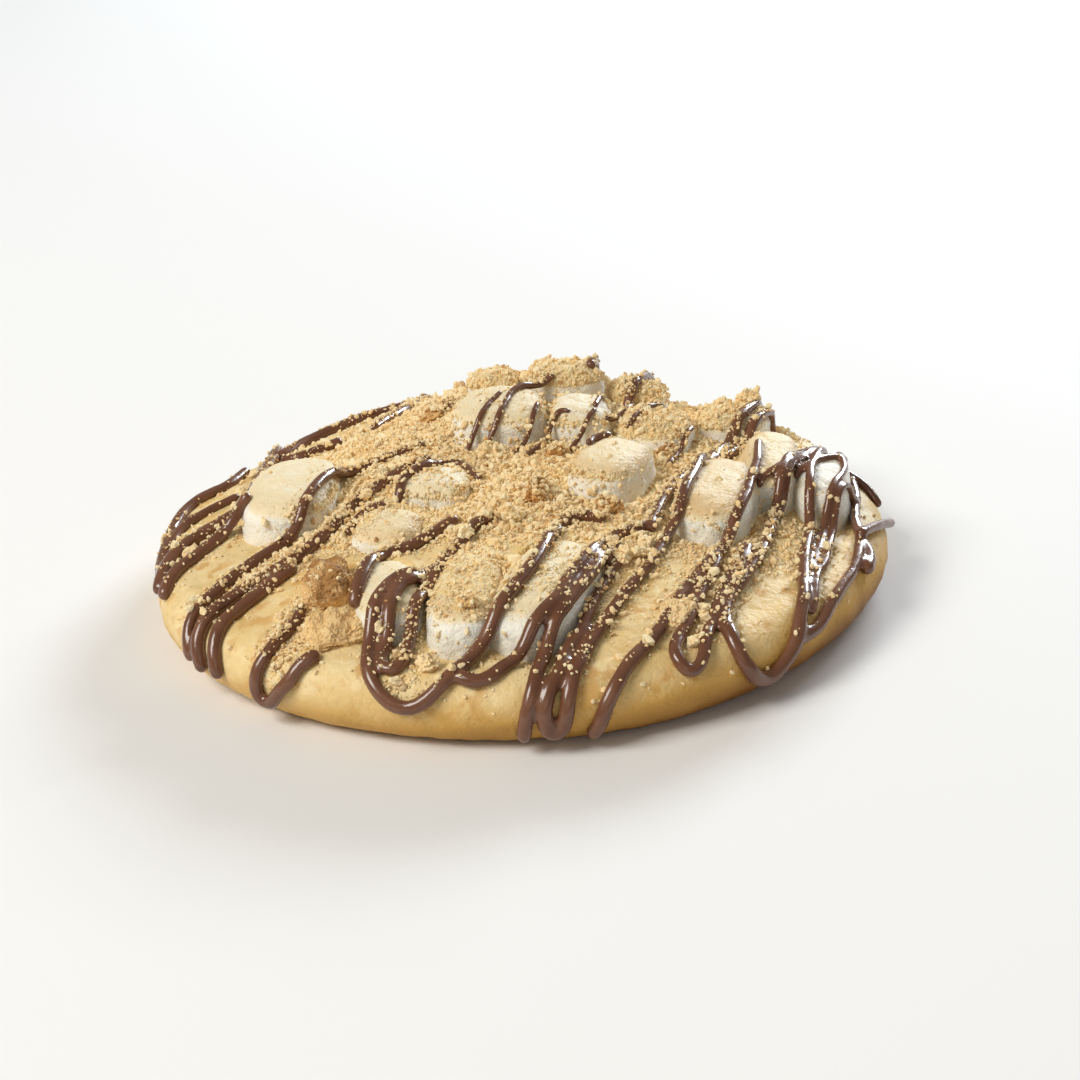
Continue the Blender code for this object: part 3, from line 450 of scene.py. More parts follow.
# %% Crumb patches
Patch = namedtuple("Patch", "x y half_width half_length turn weight")
CRUMB_PATCHES = (
    Patch(-3, 3, 19, 15, 0, 1.0),
    Patch(6, 24, 22, 13, 0, 1.0),
    Patch(28, 23, 14, 12, 0, 0.9),
    Patch(-22, 15, 12, 12, 0, 0.6),
    Patch(4, -12, 14, 10, 0, 1.0),
    Patch(-6, -32, 5, 9, -8, 0.8),
    Patch(4, -30, 4, 9, -24, 0.4),
    Patch(-24, -13, 8, 6, -30, 0.8),
    Patch(-24, -2, 3, 8, 0, 0.7),
    Patch(-34, -21, 8, 3.5, 35, 0.8),
    Patch(-27.7, -32.2, 2.3, 4.4, -21, 0.8),
    Patch(-28.9, -36.6, 2.9, 4.5, -25, 1.0),
    Patch(-29.8, -39.2, 1.7, 2.2, -25, 1.0),
    Patch(13, -22, 6, 4, 20, 0.8),
    Patch(26, -24, 5, 9, -20, 0.7),
    Patch(34, -16, 3.5, 7, -15, 0.6),
    Patch(-14, -43, 2.5, 5, 0, 0.4),
    Patch(20, -36, 3, 3, 0, 0.3),
    Patch(-42, -7, 5, 5, 0, 0.3),
    Patch(-44, -29, 3, 5, -30, 0.3),
    Patch(20, 8, 8, 8, 0, 0.6),
    Patch(-14, 38, 14, 6, 20, 0.45),
)
PATCH_EDGE = 1.5


def soft_patch(patch, x, y):
    """What a patch adds at a place: its whole weight in the middle, and little beyond its edge."""
    across, along = shares_across(patch, x, y)
    return patch.weight * math.exp(-((across**2 + along**2) ** PATCH_EDGE))


print("patches of crumbs:", len(CRUMB_PATCHES))

# %% Crumb density
CLING_DISTANCE = 1.7
CLING_WEIGHT = 0.75
CLING_MIDDLE = (-1.0, -8.0)
CLING_REACH = (38.0, 34.0)
CLING_EDGE = 4
EVERYWHERE = 0.006
FOOT_WIDTH = 1.2
STRAND_SHEDS = 0.30
strand_spots = [spot for line in strands for spot in line]
strand_tree = KDTree(len(strand_spots))
for number, (centre, _, _) in enumerate(strand_spots):
    strand_tree.insert((centre.x, centre.y, 0), number)
strand_tree.balance()


def crumb_density(x, y, powder=False):
    """Chance from 0 to 1 that a crumb, or powder, lies at a place.

    The patches and the strands that crumbs cling to raise it. Marshmallows keep only their own share of it.
    """
    field = 1.0
    for patch in CRUMB_PATCHES:
        field *= 1 - min(soft_patch(patch, x, y), 1.0)
    _, number, distance = strand_tree.find((x, y, 0))
    near = math.exp(-((distance / CLING_DISTANCE) ** 2))
    away = math.hypot((x - CLING_MIDDLE[0]) / CLING_REACH[0], (y - CLING_MIDDLE[1]) / CLING_REACH[1])
    thrown = 1 - field * (1 - CLING_WEIGHT * near * math.exp(-(away**CLING_EDGE)))
    for puff in PUFFS:
        share = puff_share(puff, x, y)
        if share < 1:
            inner = min(1.0, (1 - share) * puff.half_width / FOOT_WIDTH)
            left = puff.dust if powder else puff.lumps
            thrown *= 1 + (left - 1) * inner * (1 - left * near)
    if distance < strand_spots[number][2]:
        thrown *= 1 - STRAND_SHEDS
    return max(EVERYWHERE, thrown)


over_middle, on_rim = crumb_density(0, 2), crumb_density(-20, -45)
print("density over the middle:", round(over_middle, 2), "and on the rim:", round(on_rim, 3))

# %% [markdown]
# ## Helpers for node trees
# Materials are easier to read when each step takes one line. A socket gets either a plain value or a link
# from another node's output, and the rest is arithmetic, noise, soft edges and mixes of colours.

# %% Node arithmetic
def give(tree, socket, value):
    """Feeds a socket: another node's output is linked, and a plain value is set."""
    if isinstance(value, bpy.types.NodeSocket):
        tree.links.new(value, socket)
    else:
        socket.default_value = value


def maths(tree, operation, a, b):
    made = tree.nodes.new("ShaderNodeMath")
    made.operation = operation
    give(tree, made.inputs[0], a)
    give(tree, made.inputs[1], b)
    return made.outputs[0]


def times(tree, a, b):
    return maths(tree, "MULTIPLY", a, b)


def plus(tree, a, b):
    return maths(tree, "ADD", a, b)


def minus(tree, a, b):
    return maths(tree, "SUBTRACT", a, b)


print("arithmetic helpers ready")

# %% Fades and mixes
# The mix node has a set of sockets for each kind of value, and these are the ones for colours.
MIX_FACTOR, MIX_FIRST, MIX_SECOND, MIX_RESULT = 0, 6, 7, 2


def fade(tree, value, low, high):
    """Rises smoothly from 0 to 1 while value goes from low to high."""
    made = tree.nodes.new("ShaderNodeMapRange")
    made.interpolation_type = "SMOOTHSTEP"
    give(tree, made.inputs["Value"], value)
    give(tree, made.inputs["From Min"], low)
    give(tree, made.inputs["From Max"], high)
    return made.outputs["Result"]


def mix(tree, amount, first, second):
    """Mixes two colours."""
    made = tree.nodes.new("ShaderNodeMix")
    made.data_type = "RGBA"
    for socket, value in ((MIX_FACTOR, amount), (MIX_FIRST, first), (MIX_SECOND, second)):
        give(tree, made.inputs[socket], value)
    return made.outputs[MIX_RESULT]


print("fade and mix ready")

# %% Node patterns
Blotches = namedtuple("Blotches", "scale detail low high")


def grain(tree, place, scale, detail=2.0):
    """A 3-D noise pattern, with scale in repeats to the metre."""
    made = tree.nodes.new("ShaderNodeTexNoise")
    give(tree, made.inputs["Vector"], place)
    give(tree, made.inputs["Scale"], scale)
    give(tree, made.inputs["Detail"], detail)
    return made.outputs["Fac"]


def cells(tree, place, scale):
    """Distance to the nearest of many scattered points, with scale in points to the metre."""
    made = tree.nodes.new("ShaderNodeTexVoronoi")
    give(tree, made.inputs["Vector"], place)
    give(tree, made.inputs["Scale"], scale)
    return made.outputs["Distance"]


def blotches(tree, place, pattern):
    """Soft patches: noise that fades in between two of its own levels."""
    return fade(tree, grain(tree, place, pattern.scale, pattern.detail), pattern.low, pattern.high)


def sway(tree, pattern, amount):
    """A pattern from 0 to 1 turned into a push to either side of nothing, of the given width."""
    return times(tree, minus(tree, pattern, 0.5), amount)


print("pattern helpers ready")

# %% Node groups
def new_group(name, inputs, outputs):
    """An empty node group: its tree, the sockets that it is given and its output node."""
    tree = bpy.data.node_groups.new(name, "ShaderNodeTree")
    for label, kind, value in inputs:
        socket = tree.interface.new_socket(label, in_out="INPUT", socket_type=kind)
        socket.default_value = value
    for label, kind in outputs:
        tree.interface.new_socket(label, in_out="OUTPUT", socket_type=kind)
    return tree, tree.nodes.new("NodeGroupInput").outputs, tree.nodes.new("NodeGroupOutput")


def use_group(tree, group, **feeds):
    """Places a node group in a tree, with a value or a link for each named socket."""
    made = tree.nodes.new("ShaderNodeGroup")
    made.node_tree = group
    for name, value in feeds.items():
        give(tree, made.inputs[name], value)
    return made.outputs


print("group helpers ready")

# %% [markdown]
# ## Shared effects
# Two effects turn up on several foods. Baked and puffed skins are both finely pebbled, and cracker dust
# lies on dough and on marshmallow alike. Each is a node group, so that every food can have its own amount
# of it.

# %% Pebbled skin
FLOAT, COLOUR, VECTOR = "NodeSocketFloat", "NodeSocketColor", "NodeSocketVector"
PEBBLE_ROUNDNESS = 1.6
PEBBLE_WEIGHT = 0.6
FINE_TO_PEBBLE = 2.3
BROAD_TO_PEBBLE = 0.22
PEBBLE_DETAIL = 3.0


def make_pebbled_skin():
    """Height of a fine pebbled surface: cells of about the given size, softened and broken up by noise."""
    tree, given, out = new_group(
        "pebbled skin",
        [("Place", VECTOR, (0, 0, 0)), ("Pebbles", FLOAT, 900.0), ("Roughness", FLOAT, 0.5)],
        [("Height", FLOAT), ("Patch", FLOAT)],
    )
    place, pebbles = given["Place"], given["Pebbles"]
    fine = grain(tree, place, times(tree, pebbles, FINE_TO_PEBBLE), PEBBLE_DETAIL)
    broad = grain(tree, place, times(tree, pebbles, BROAD_TO_PEBBLE), PEBBLE_DETAIL)
    dome = minus(tree, 1.0, maths(tree, "POWER", cells(tree, place, pebbles), PEBBLE_ROUNDNESS))
    height = plus(tree, times(tree, dome, PEBBLE_WEIGHT), times(tree, fine, given["Roughness"]))
    give(tree, out.inputs["Height"], plus(tree, height, broad))
    give(tree, out.inputs["Patch"], broad)
    return tree


pebbled_skin = make_pebbled_skin()
print("group:", pebbled_skin.name)

# %% Cracker dust
DUST_PALE = (0.94, 0.76, 0.45, 1)
DUST_DARK = (0.89, 0.64, 0.30, 1)
DUST_SHADES = Blotches(1300.0, 2.0, 0.35, 0.65)
DUST_GRAINS = 2100.0
DUST_PATCHES = 420.0
DUST_PATCH_DETAIL = 4.0
DUST_PATCHINESS = 0.7
DUST_RANGE = (0.15, 0.75)
GRAIN_REACH = 1.3
GRAIN_EDGE = 0.22
GRAIN_TOP = 1.2


def make_cracker_dust():
    """Lays fine cracker dust over a colour: grains appear one by one as the amount rises."""
    tree, given, out = new_group(
        "cracker dust",
        [("Place", VECTOR, (0, 0, 0)), ("Colour", COLOUR, (1, 1, 1, 1)), ("Amount", FLOAT, 0.0)],
        [("Colour", COLOUR), ("Height", FLOAT), ("Cover", FLOAT)],
    )
    place = given["Place"]
    from_grain = cells(tree, place, DUST_GRAINS)
    patchy = sway(tree, grain(tree, place, DUST_PATCHES, DUST_PATCH_DETAIL), DUST_PATCHINESS)
    here = fade(tree, plus(tree, given["Amount"], patchy), *DUST_RANGE)
    cover = fade(tree, minus(tree, times(tree, here, GRAIN_REACH), from_grain), 0.0, GRAIN_EDGE)
    dust = mix(tree, blotches(tree, place, DUST_SHADES), DUST_PALE, DUST_DARK)
    give(tree, out.inputs["Colour"], mix(tree, cover, given["Colour"], dust))
    give(tree, out.inputs["Height"], times(tree, cover, minus(tree, GRAIN_TOP, from_grain)))
    give(tree, out.inputs["Cover"], cover)
    return tree


cracker_dust = make_cracker_dust()
print("group:", cracker_dust.name)

# %% [markdown]
# ## Materials
# The dough is pale gold with darker freckles and a browner foot, and the foot mask also paints shade on the
# lower rim, deepest on the right front. The marshmallow is cream white with a tan that follows a mask,
# because toasting depends on which side faced the heat. Both let some light through, so they get a little
# subsurface scattering. Their masks are numbers stored at the mesh's points, so nothing has to be
# unwrapped or painted.

# %% Start a material
def start_material(name):
    """A new material, its tree, its shader and the place of each point in metres."""
    made = bpy.data.materials.new(name)
    made.use_nodes = True
    tree = made.node_tree
    shader = tree.nodes["Principled BSDF"]
    place = tree.nodes.new("ShaderNodeTexCoord").outputs["Object"]
    return made, tree, shader, place


def stored(tree, name):
    """A mask that is stored on the mesh."""
    made = tree.nodes.new("ShaderNodeAttribute")
    made.attribute_name = name
    return made.outputs["Fac"]


def bump(tree, shader, height, distance, strength):
    made = tree.nodes.new("ShaderNodeBump")
    give(tree, made.inputs["Distance"], distance)
    give(tree, made.inputs["Strength"], strength)
    give(tree, made.inputs["Height"], height)
    give(tree, shader.inputs["Normal"], made.outputs["Normal"])


def soft_inside(tree, shader, weight, reach):
    """Lets light spread under the surface, in millimetres for red, green and blue."""
    give(tree, shader.inputs["Subsurface Weight"], weight)
    give(tree, shader.inputs["Subsurface Radius"], reach)
    give(tree, shader.inputs["Subsurface Scale"], MM)


print("material helpers ready")

# %% Finish a skin
SkinFinish = namedtuple("SkinFinish", "pebbles relief strength roughness patchiness gloss inside reach")
SKIN_ROUGHNESS = 0.9
DUST_ROUGHNESS = 0.3
SKIN_BUMP = 0.35 * MM


def finish_skin(tree, shader, place, colour, finish):
    """Gives a skin its colour with dust on it, its pebbles, its roughness and its soft inside."""
    skin_of = use_group(tree, pebbled_skin, Place=place, Pebbles=finish.pebbles, Roughness=SKIN_ROUGHNESS)
    dust = use_group(tree, cracker_dust, Place=place, Colour=colour, Amount=stored(tree, "dust"))
    patchy = plus(tree, finish.roughness, times(tree, skin_of["Patch"], finish.patchiness))
    give(tree, shader.inputs["Base Color"], dust["Colour"])
    give(tree, shader.inputs["Roughness"], plus(tree, patchy, times(tree, dust["Cover"], DUST_ROUGHNESS)))
    give(tree, shader.inputs["Specular IOR Level"], finish.gloss)
    height = plus(tree, times(tree, skin_of["Height"], finish.relief), dust["Height"])
    bump(tree, shader, height, SKIN_BUMP, finish.strength)
    soft_inside(tree, shader, finish.inside, finish.reach)


print("a skin finish sets:", SkinFinish._fields)

# %% Dough
DOUGH_LIGHT = (0.90, 0.72, 0.40, 1)
DOUGH_DEEP = (0.77, 0.55, 0.23, 1)
DOUGH_FRECKLE = (0.62, 0.31, 0.07, 1)
# Gold and the foot colour follow the foot mask: real browning of the lower rim plus painted shade there,
# deepest on the right front.
DOUGH_GOLD = (0.66, 0.38, 0.09, 1)
DOUGH_FOOT_AND_SHADE = (0.24, 0.09, 0.010, 1)
DOUGH_CLOUDS = Blotches(130.0, 3.0, 0.35, 0.68)
DOUGH_MOTTLE = Blotches(560.0, 4.0, 0.44, 0.60)
DOUGH_FRECKLES = Blotches(400.0, 5.0, 0.50, 0.62)
FRECKLED_AREAS = Blotches(110.0, 2.0, 0.42, 0.56)
MOTTLE_WEIGHT = 0.40
FRECKLE_WEIGHT = 0.62
GOLD_RANGE = (0.0, 0.6)
FOOT_RANGE = (0.4, 1.0)
DOUGH_FINISH = SkinFinish(
    pebbles=1000.0, relief=0.5, strength=0.8, roughness=0.42, patchiness=0.16, gloss=0.22, inside=0.12,
    reach=(2.0, 1.2, 0.5),
)


def make_dough_material():
    made, tree, shader, place = start_material("baked dough")
    base = mix(tree, blotches(tree, place, DOUGH_CLOUDS), DOUGH_LIGHT, DOUGH_DEEP)
    mottle = times(tree, blotches(tree, place, DOUGH_MOTTLE), MOTTLE_WEIGHT)
    base = mix(tree, mottle, base, DOUGH_DEEP)
    freckle = times(tree, blotches(tree, place, DOUGH_FRECKLES), blotches(tree, place, FRECKLED_AREAS))
    base = mix(tree, times(tree, freckle, FRECKLE_WEIGHT), base, DOUGH_FRECKLE)
    # The foot mask paints the lower rim gold, then deep brown: real browning plus painted shade, strongest
    # on the right front.
    foot = stored(tree, "foot")
    base = mix(tree, fade(tree, foot, *GOLD_RANGE), base, DOUGH_GOLD)
    base = mix(tree, fade(tree, foot, *FOOT_RANGE), base, DOUGH_FOOT_AND_SHADE)
    finish_skin(tree, shader, place, base, DOUGH_FINISH)
    return made


dough_material = make_dough_material()
print("material:", dough_material.name)

# %% Marshmallow
PUFF_WHITE = (0.94, 0.90, 0.79, 1)
PUFF_CREAM = (0.90, 0.76, 0.50, 1)
PUFF_TAN = (0.78, 0.54, 0.27, 1)
TOAST_PATCHES = 330.0
TOAST_DETAIL = 4.0
TOAST_PATCHINESS = 0.5
CREAM_RANGE = (0.0, 0.4)
TAN_RANGE = (0.35, 1.05)
TAN_WEIGHT = 0.85
PUFF_FINISH = SkinFinish(
    pebbles=1300.0, relief=0.6, strength=0.9, roughness=0.5, patchiness=0.0, gloss=0.25, inside=0.25,
    reach=(2.4, 1.8, 1.1),
)


def make_marshmallow_material():
    made, tree, shader, place = start_material("toasted marshmallow")
    patchy = sway(tree, grain(tree, place, TOAST_PATCHES, TOAST_DETAIL), TOAST_PATCHINESS)
    toast = plus(tree, stored(tree, "toast"), patchy)
    base = mix(tree, fade(tree, toast, *CREAM_RANGE), PUFF_WHITE, PUFF_CREAM)
    base = mix(tree, times(tree, fade(tree, toast, *TAN_RANGE), TAN_WEIGHT), base, PUFF_TAN)
    finish_skin(tree, shader, place, base, PUFF_FINISH)
    return made


marshmallow_material = make_marshmallow_material()
print("material:", marshmallow_material.name)

# %% [markdown]
# ## Chocolate and cracker
# Set milk chocolate is smooth and waxy: a fairly low roughness under a thin clear coat gives it a soft
# sheen with sharp edges of light. Broken cracker is dry and matt, pale inside and brown outside. Painting
# each crumb would take too many materials, so each crumb carries its own tone and one function makes both
# crackers.

# %% Milk chocolate
CHOCOLATE_BODY = (0.140, 0.052, 0.024, 1)
CHOCOLATE_PALE = (0.185, 0.076, 0.038, 1)
STREAKS = 260.0
STREAK_RANGE = (0.3, 0.7)
CHOCOLATE_ROUGHNESS = 0.17
STREAK_ROUGHNESS = 0.16
CHOCOLATE_GLOSS = 0.5
COAT_WEIGHT = 0.3
COAT_ROUGHNESS = 0.07
RIPPLES = 900.0
RIPPLE_BUMP = 0.06 * MM
RIPPLE_STRENGTH = 0.6
CHOCOLATE_DETAIL = 3.0


def make_chocolate_material():
    made, tree, shader, place = start_material("milk chocolate")
    streak = grain(tree, place, STREAKS, CHOCOLATE_DETAIL)
    base = mix(tree, fade(tree, streak, *STREAK_RANGE), CHOCOLATE_BODY, CHOCOLATE_PALE)
    rough = plus(tree, CHOCOLATE_ROUGHNESS, times(tree, streak, STREAK_ROUGHNESS))
    give(tree, shader.inputs["Base Color"], base)
    give(tree, shader.inputs["Roughness"], rough)
    give(tree, shader.inputs["Specular IOR Level"], CHOCOLATE_GLOSS)
    give(tree, shader.inputs["Coat Weight"], COAT_WEIGHT)
    give(tree, shader.inputs["Coat Roughness"], COAT_ROUGHNESS)
    bump(tree, shader, grain(tree, place, RIPPLES, CHOCOLATE_DETAIL), RIPPLE_BUMP, RIPPLE_STRENGTH)
    return made


chocolate_material = make_chocolate_material()
print("material:", chocolate_material.name)

# %% Cracker
CRACKER_PALE = (0.95, 0.81, 0.53, 1)
CRACKER_GOLD = (0.88, 0.65, 0.34, 1)
GOLDEN_LIGHT = (0.86, 0.62, 0.31, 1)
GOLDEN_DARK = (0.62, 0.35, 0.13, 1)
CRACKER_BROWN = (0.36, 0.17, 0.05, 1)
SPECKS = 1500.0
SPECK_DETAIL = 3.0
SPECK_WEIGHT = 0.5
BROWNED_AREAS = Blotches(420.0, 3.0, 0.25, 0.55)
CRACKER_ROUGHNESS = 0.85
CRUST_SMOOTHNESS = 0.25
CRACKER_BUMP = 0.15 * MM
CRACKER_STRENGTH = 0.7
CRACKER_GLOSS = 0.2
CRACKER_INSIDE = 0.06
CRACKER_INSIDE_REACH = (0.5, 0.3, 0.15)


def make_cracker_material(name, dark, light):
    """Cracker: between dark and light by each crumb's own tone, and browned where the mask says crust."""
    made, tree, shader, place = start_material(name)
    speck = grain(tree, place, SPECKS, SPECK_DETAIL)
    tone = plus(tree, stored(tree, "tone"), sway(tree, speck, SPECK_WEIGHT))
    crust = times(tree, stored(tree, "crust"), blotches(tree, place, BROWNED_AREAS))
    base = mix(tree, crust, mix(tree, tone, dark, light), CRACKER_BROWN)
    rough = minus(tree, CRACKER_ROUGHNESS, times(tree, crust, CRUST_SMOOTHNESS))
    give(tree, shader.inputs["Base Color"], base)
    give(tree, shader.inputs["Roughness"], rough)
    give(tree, shader.inputs["Specular IOR Level"], CRACKER_GLOSS)
    bump(tree, shader, speck, CRACKER_BUMP, CRACKER_STRENGTH)
    soft_inside(tree, shader, CRACKER_INSIDE, CRACKER_INSIDE_REACH)
    return made


pale_cracker = make_cracker_material("pale cracker", CRACKER_GOLD, CRACKER_PALE)
golden_cracker = make_cracker_material("golden cracker", GOLDEN_DARK, GOLDEN_LIGHT)
print("materials:", pale_cracker.name, "and", golden_cracker.name)

# %% [markdown]
# ## From points to pieces
# Everything is drawn in millimetres round the dough's middle, so one helper turns points and faces into
# an object in metres at its place in the frame.

# %% Piece helpers
def piece_from(name, points, faces, material, slot, nodes, smooth=True, masks=None):
    mesh = bpy.data.meshes.new(name)
    placed = (np.asarray(points, float) + np.array(SHIFT)) * MM
    mesh.from_pydata(placed.tolist(), [], faces)
    mesh.validate()
    for mask, values in (masks or {}).items():
        layer = mesh.attributes.new(mask, "FLOAT", "POINT")
        layer.data.foreach_set("value", np.asarray(values, np.float32))
    mesh.materials.append(material)
    mesh.polygons.foreach_set("use_smooth", [smooth] * len(mesh.polygons))
    piece = bpy.data.objects.new(name, mesh)
    bpy.context.scene.collection.objects.link(piece)
    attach(piece, "root")
    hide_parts(*nodes)
    return piece


def triangles(piece):
    return sum(len(face.vertices) - 2 for face in piece.data.polygons)


print("piece helpers ready")

# %% Shape helpers
def joined(shapes):
    """Points and faces of many shapes, as one list of each."""
    points, faces = [], []
    for some_points, some_faces in shapes:
        faces += [tuple(n + len(points) for n in face) for face in some_faces]
        points += some_points
    return points, faces


def sphere_grid(segments, rings, place):
    """Points and faces of rings between two poles, where place(ring, angle) gives each point."""
    points = [place(0, 0.0)]
    for ring in range(1, rings):
        points += [place(ring, math.tau * k / segments) for k in range(segments)]
    points.append(place(rings, 0.0))
    faces = []
    for k in range(segments):
        after = (k + 1) % segments
        faces.append((0, 1 + k, 1 + after))
        for ring in range(rings - 2):
            row = 1 + ring * segments
            faces.append((row + k, row + segments + k, row + segments + after, row + after))
        row = 1 + (rings - 2) * segments
        faces.append((len(points) - 1, row + after, row + k))
    return points, faces


def step(value, low, high):
    """A smooth rise from 0 to 1 between low and high."""
    t = min(max((value - low) / (high - low), 0.0), 1.0)
    return t * t * (3 - 2 * t)


print("shape helpers ready")

# %% [markdown]
# ## The dough
# The fine dough follows the solid, with the relief that a baked top has: slow swells, small dimples, and
# round each marshmallow a lip behind it, a gap in front and a pocket below. The relief is real geometry,
# and the finest pores are bump. A mask says where the foot browned, and the same mask also paints shade on
# the lower rim, more on the right front side that faces away from the key light.

# %% Dough relief
LIP_HEIGHT = 0.9
LIP_WIDTH = 1.3
LIP_OVERLAP = 0.2
LIP_REACH = 3
MOAT_DEPTH = 1.1
POCKET_DEPTH = 3.0
POCKET_START = 0.4
POCKET_FULL = 1.6
DIMPLE_SIZE = 3.4
SMALL_DIMPLE_SIZE = DIMPLE_SIZE / 2.3
DIMPLE_DEPTH = 0.16
PORE_SIZE = 1.8
PORE_DEPTH = 0.05


def lip_and_pocket(x, y):
    """What the marshmallows do to the dough: a lip behind them, a gap in front, a pocket below."""
    change = 0.0
    for puff in PUFFS:
        if math.hypot(x - puff.x, y - puff.y) > puff.half_length + puff.half_width + LIP_REACH:
            continue
        beyond = (puff_share(puff, x, y) - 1) * min(puff.half_width, puff.half_length)
        if beyond <= -POCKET_START:
            return -POCKET_DEPTH * step(-beyond, POCKET_START, POCKET_FULL)
        behind = 0.5 + 0.5 * math.sin(math.atan2(y - puff.y, x - puff.x))
        rise = LIP_HEIGHT * behind - MOAT_DEPTH * (1 - behind)
        lip = rise * math.exp(-(((beyond + LIP_OVERLAP) / LIP_WIDTH) ** 2))
        change = max(change, lip, key=abs)
    return change


def relief(point):
    """Height of the dimples and pores at a point."""
    dimple = noise.noise(point / DIMPLE_SIZE) + 0.5 * noise.noise(point / SMALL_DIMPLE_SIZE)
    return DIMPLE_DEPTH * dimple + PORE_DEPTH * noise.noise(point / PORE_SIZE)


print("depth under the first marshmallow:", lip_and_pocket(PUFFS[0].x, PUFFS[0].y), "mm")

# %% Dough points
TOP_RINGS = 104
RIM_RINGS = 34
UNDERSIDE_RINGS = 8
# Angles over the rim between which the relief dies out, so that the underside is flat.
RELIEF_FADE = (2.4, 3.1)


def dough_point(ring, angle):
    """Point of the dough, whose rings cross the top, go round the rim and close the flat underside."""
    edge = edge_radius(angle)
    half = rim_half_height(angle)
    out = bearing(angle)
    if ring <= TOP_RINGS:
        flat = out * (edge * (1 - RIM_SHARE) * ring / TOP_RINGS)
        flat.z = dough_height(flat.x, flat.y) + lip_and_pocket(flat.x, flat.y)
        return flat + Vector((0, 0, relief(flat)))
    if ring <= TOP_RINGS + RIM_RINGS:
        over = math.pi * (ring - TOP_RINGS) / RIM_RINGS
        point = out * (edge * (1 - RIM_SHARE + RIM_SHARE * math.sin(over)))
        point.z = half + half * math.cos(over)
        steady = 1 - step(over, *RELIEF_FADE)
        point += (out * math.sin(over) + Vector((0, 0, math.cos(over)))) * relief(point) * steady
        return point
    inward = (ring - TOP_RINGS - RIM_RINGS) / UNDERSIDE_RINGS
    return out * (edge * (1 - RIM_SHARE) * (1 - inward))


print("rings of dough:", TOP_RINGS + RIM_RINGS + UNDERSIDE_RINGS)

# %% Make the dough
DOUGH_SEGMENTS = 420
# The foot mask is real browning plus painted shade: it climbs higher and stays stronger round FOOT_ANGLE,
# the right front side away from the key light.
FOOT_START = 0.8
FOOT_LOW = 6.0
FOOT_HIGH = 11.5
FOOT_ANGLE = -35.0
FOOT_SPREAD = 75.0
FOOT_LEAST = 0.35
FOOT_WAVE = 1.2
FOOT_WAVE_SIZE = 5.0
DUST_SPREAD = 0.7


def browned_foot_and_painted_shade(point):
    """How dark the foot of the cookie is: its real browning plus painted shade, which climbs higher on the
    right front side, away from the key light.
    """
    side = hump(math.atan2(point.y, point.x), FOOT_ANGLE, FOOT_SPREAD)
    height = FOOT_LOW + (FOOT_HIGH - FOOT_LOW) * side
    wavy = point.z + FOOT_WAVE * noise.noise(point / FOOT_WAVE_SIZE)
    return (FOOT_LEAST + (1 - FOOT_LEAST) * side) * (1 - step(wavy, FOOT_START, height))


def make_dough():
    rings = TOP_RINGS + RIM_RINGS + UNDERSIDE_RINGS
    points, faces = sphere_grid(DOUGH_SEGMENTS, rings, dough_point)
    dust = [crumb_density(p.x, p.y, True) ** DUST_SPREAD if p.z > RIM_HALF_HEIGHT else 0.0 for p in points]
    masks = {"dust": dust, "foot": [browned_foot_and_painted_shade(p) for p in points]}
    return piece_from("dough", points, faces, dough_material, "dough", ["cookie"], masks=masks)


dough = make_dough()
print("dough:", triangles(dough), "triangles")

# %% [markdown]
# ## The marshmallows
# A puffed marshmallow has a soft crown, sides that belly out over the dough, and a skin that wrinkled as
# it settled. Each could be sculpted by hand, but one function of a few numbers keeps all seventeen true
# to their solids. The toast mask is strongest high up, towards the edge of the crown.

# %% Marshmallow skin
CROWN_RINGS = 20
SIDE_RINGS = 12
PUFF_BOTTOM_RINGS = 3
CROWN = 0.5
CROWN_DROP = 0.25
BELLY = 0.35
CORE_DEPTH = 4
WRINKLE_SIZE = 3.6
WRINKLE_DEPTH = 0.22
WRINKLE_SHIFT = 7.0
RIPPLE_SIZE = 2.0
RIPPLE_HEIGHT = 0.08


def marshmallow_point(puff, bottom, ring, angle):
    """Point of a marshmallow's smooth form, from the crown down the sides and over the flat bottom."""
    x, y = puff_outline(puff, angle)
    middle = Vector((puff.x, puff.y, 0))
    around = Vector((x - puff.x, y - puff.y, 0))
    if ring <= CROWN_RINGS:
        share = math.sin(math.pi / 2 * ring / CROWN_RINGS)
        spot = middle + around * share
        spot.z = puff_height(puff, spot.x, spot.y) + CROWN * (1 - share**2) - CROWN_DROP
        return spot
    if ring <= CROWN_RINGS + SIDE_RINGS:
        down = (ring - CROWN_RINGS) / SIDE_RINGS
        edge_top = puff_height(puff, x, y) - CROWN_DROP
        spot = middle + around * (1 + BELLY / around.length * math.sin(math.pi * down))
        spot.z = edge_top + (bottom - edge_top) * down
        return spot
    inward = (ring - CROWN_RINGS - SIDE_RINGS) / PUFF_BOTTOM_RINGS
    spot = middle + around * (1 - inward)
    spot.z = bottom
    return spot


def wrinkled(point, number, puff):
    """Where a point goes when the skin wrinkles, mostly in creases and a little in ripples."""
    away = (point - Vector((puff.x, puff.y, puff.top - CORE_DEPTH))).normalized()
    own = Vector((number * WRINKLE_SHIFT, 0, 0))
    crease = 1 - abs(noise.noise(point / WRINKLE_SIZE + own)) * 2
    ripple = noise.noise(point / RIPPLE_SIZE)
    return point - away * (WRINKLE_DEPTH * max(crease, 0) ** 3 - RIPPLE_HEIGHT * ripple)


print("rings from crown to foot:", CROWN_RINGS + SIDE_RINGS)

# %% Make the marshmallows
PUFF_SEGMENTS = 72
OUTLINE_CHECKS = 16
# The toast starts and is full at these depths below the top.
TOAST_START, TOAST_FULL = 2.6, 0.9
# It deepens between these shares of the way out, from this base by this gain.
TOAST_RING = (0.45, 0.9)
RING_BASE, RING_GAIN = 0.75, 0.35
SIDE_DUST = 0.15


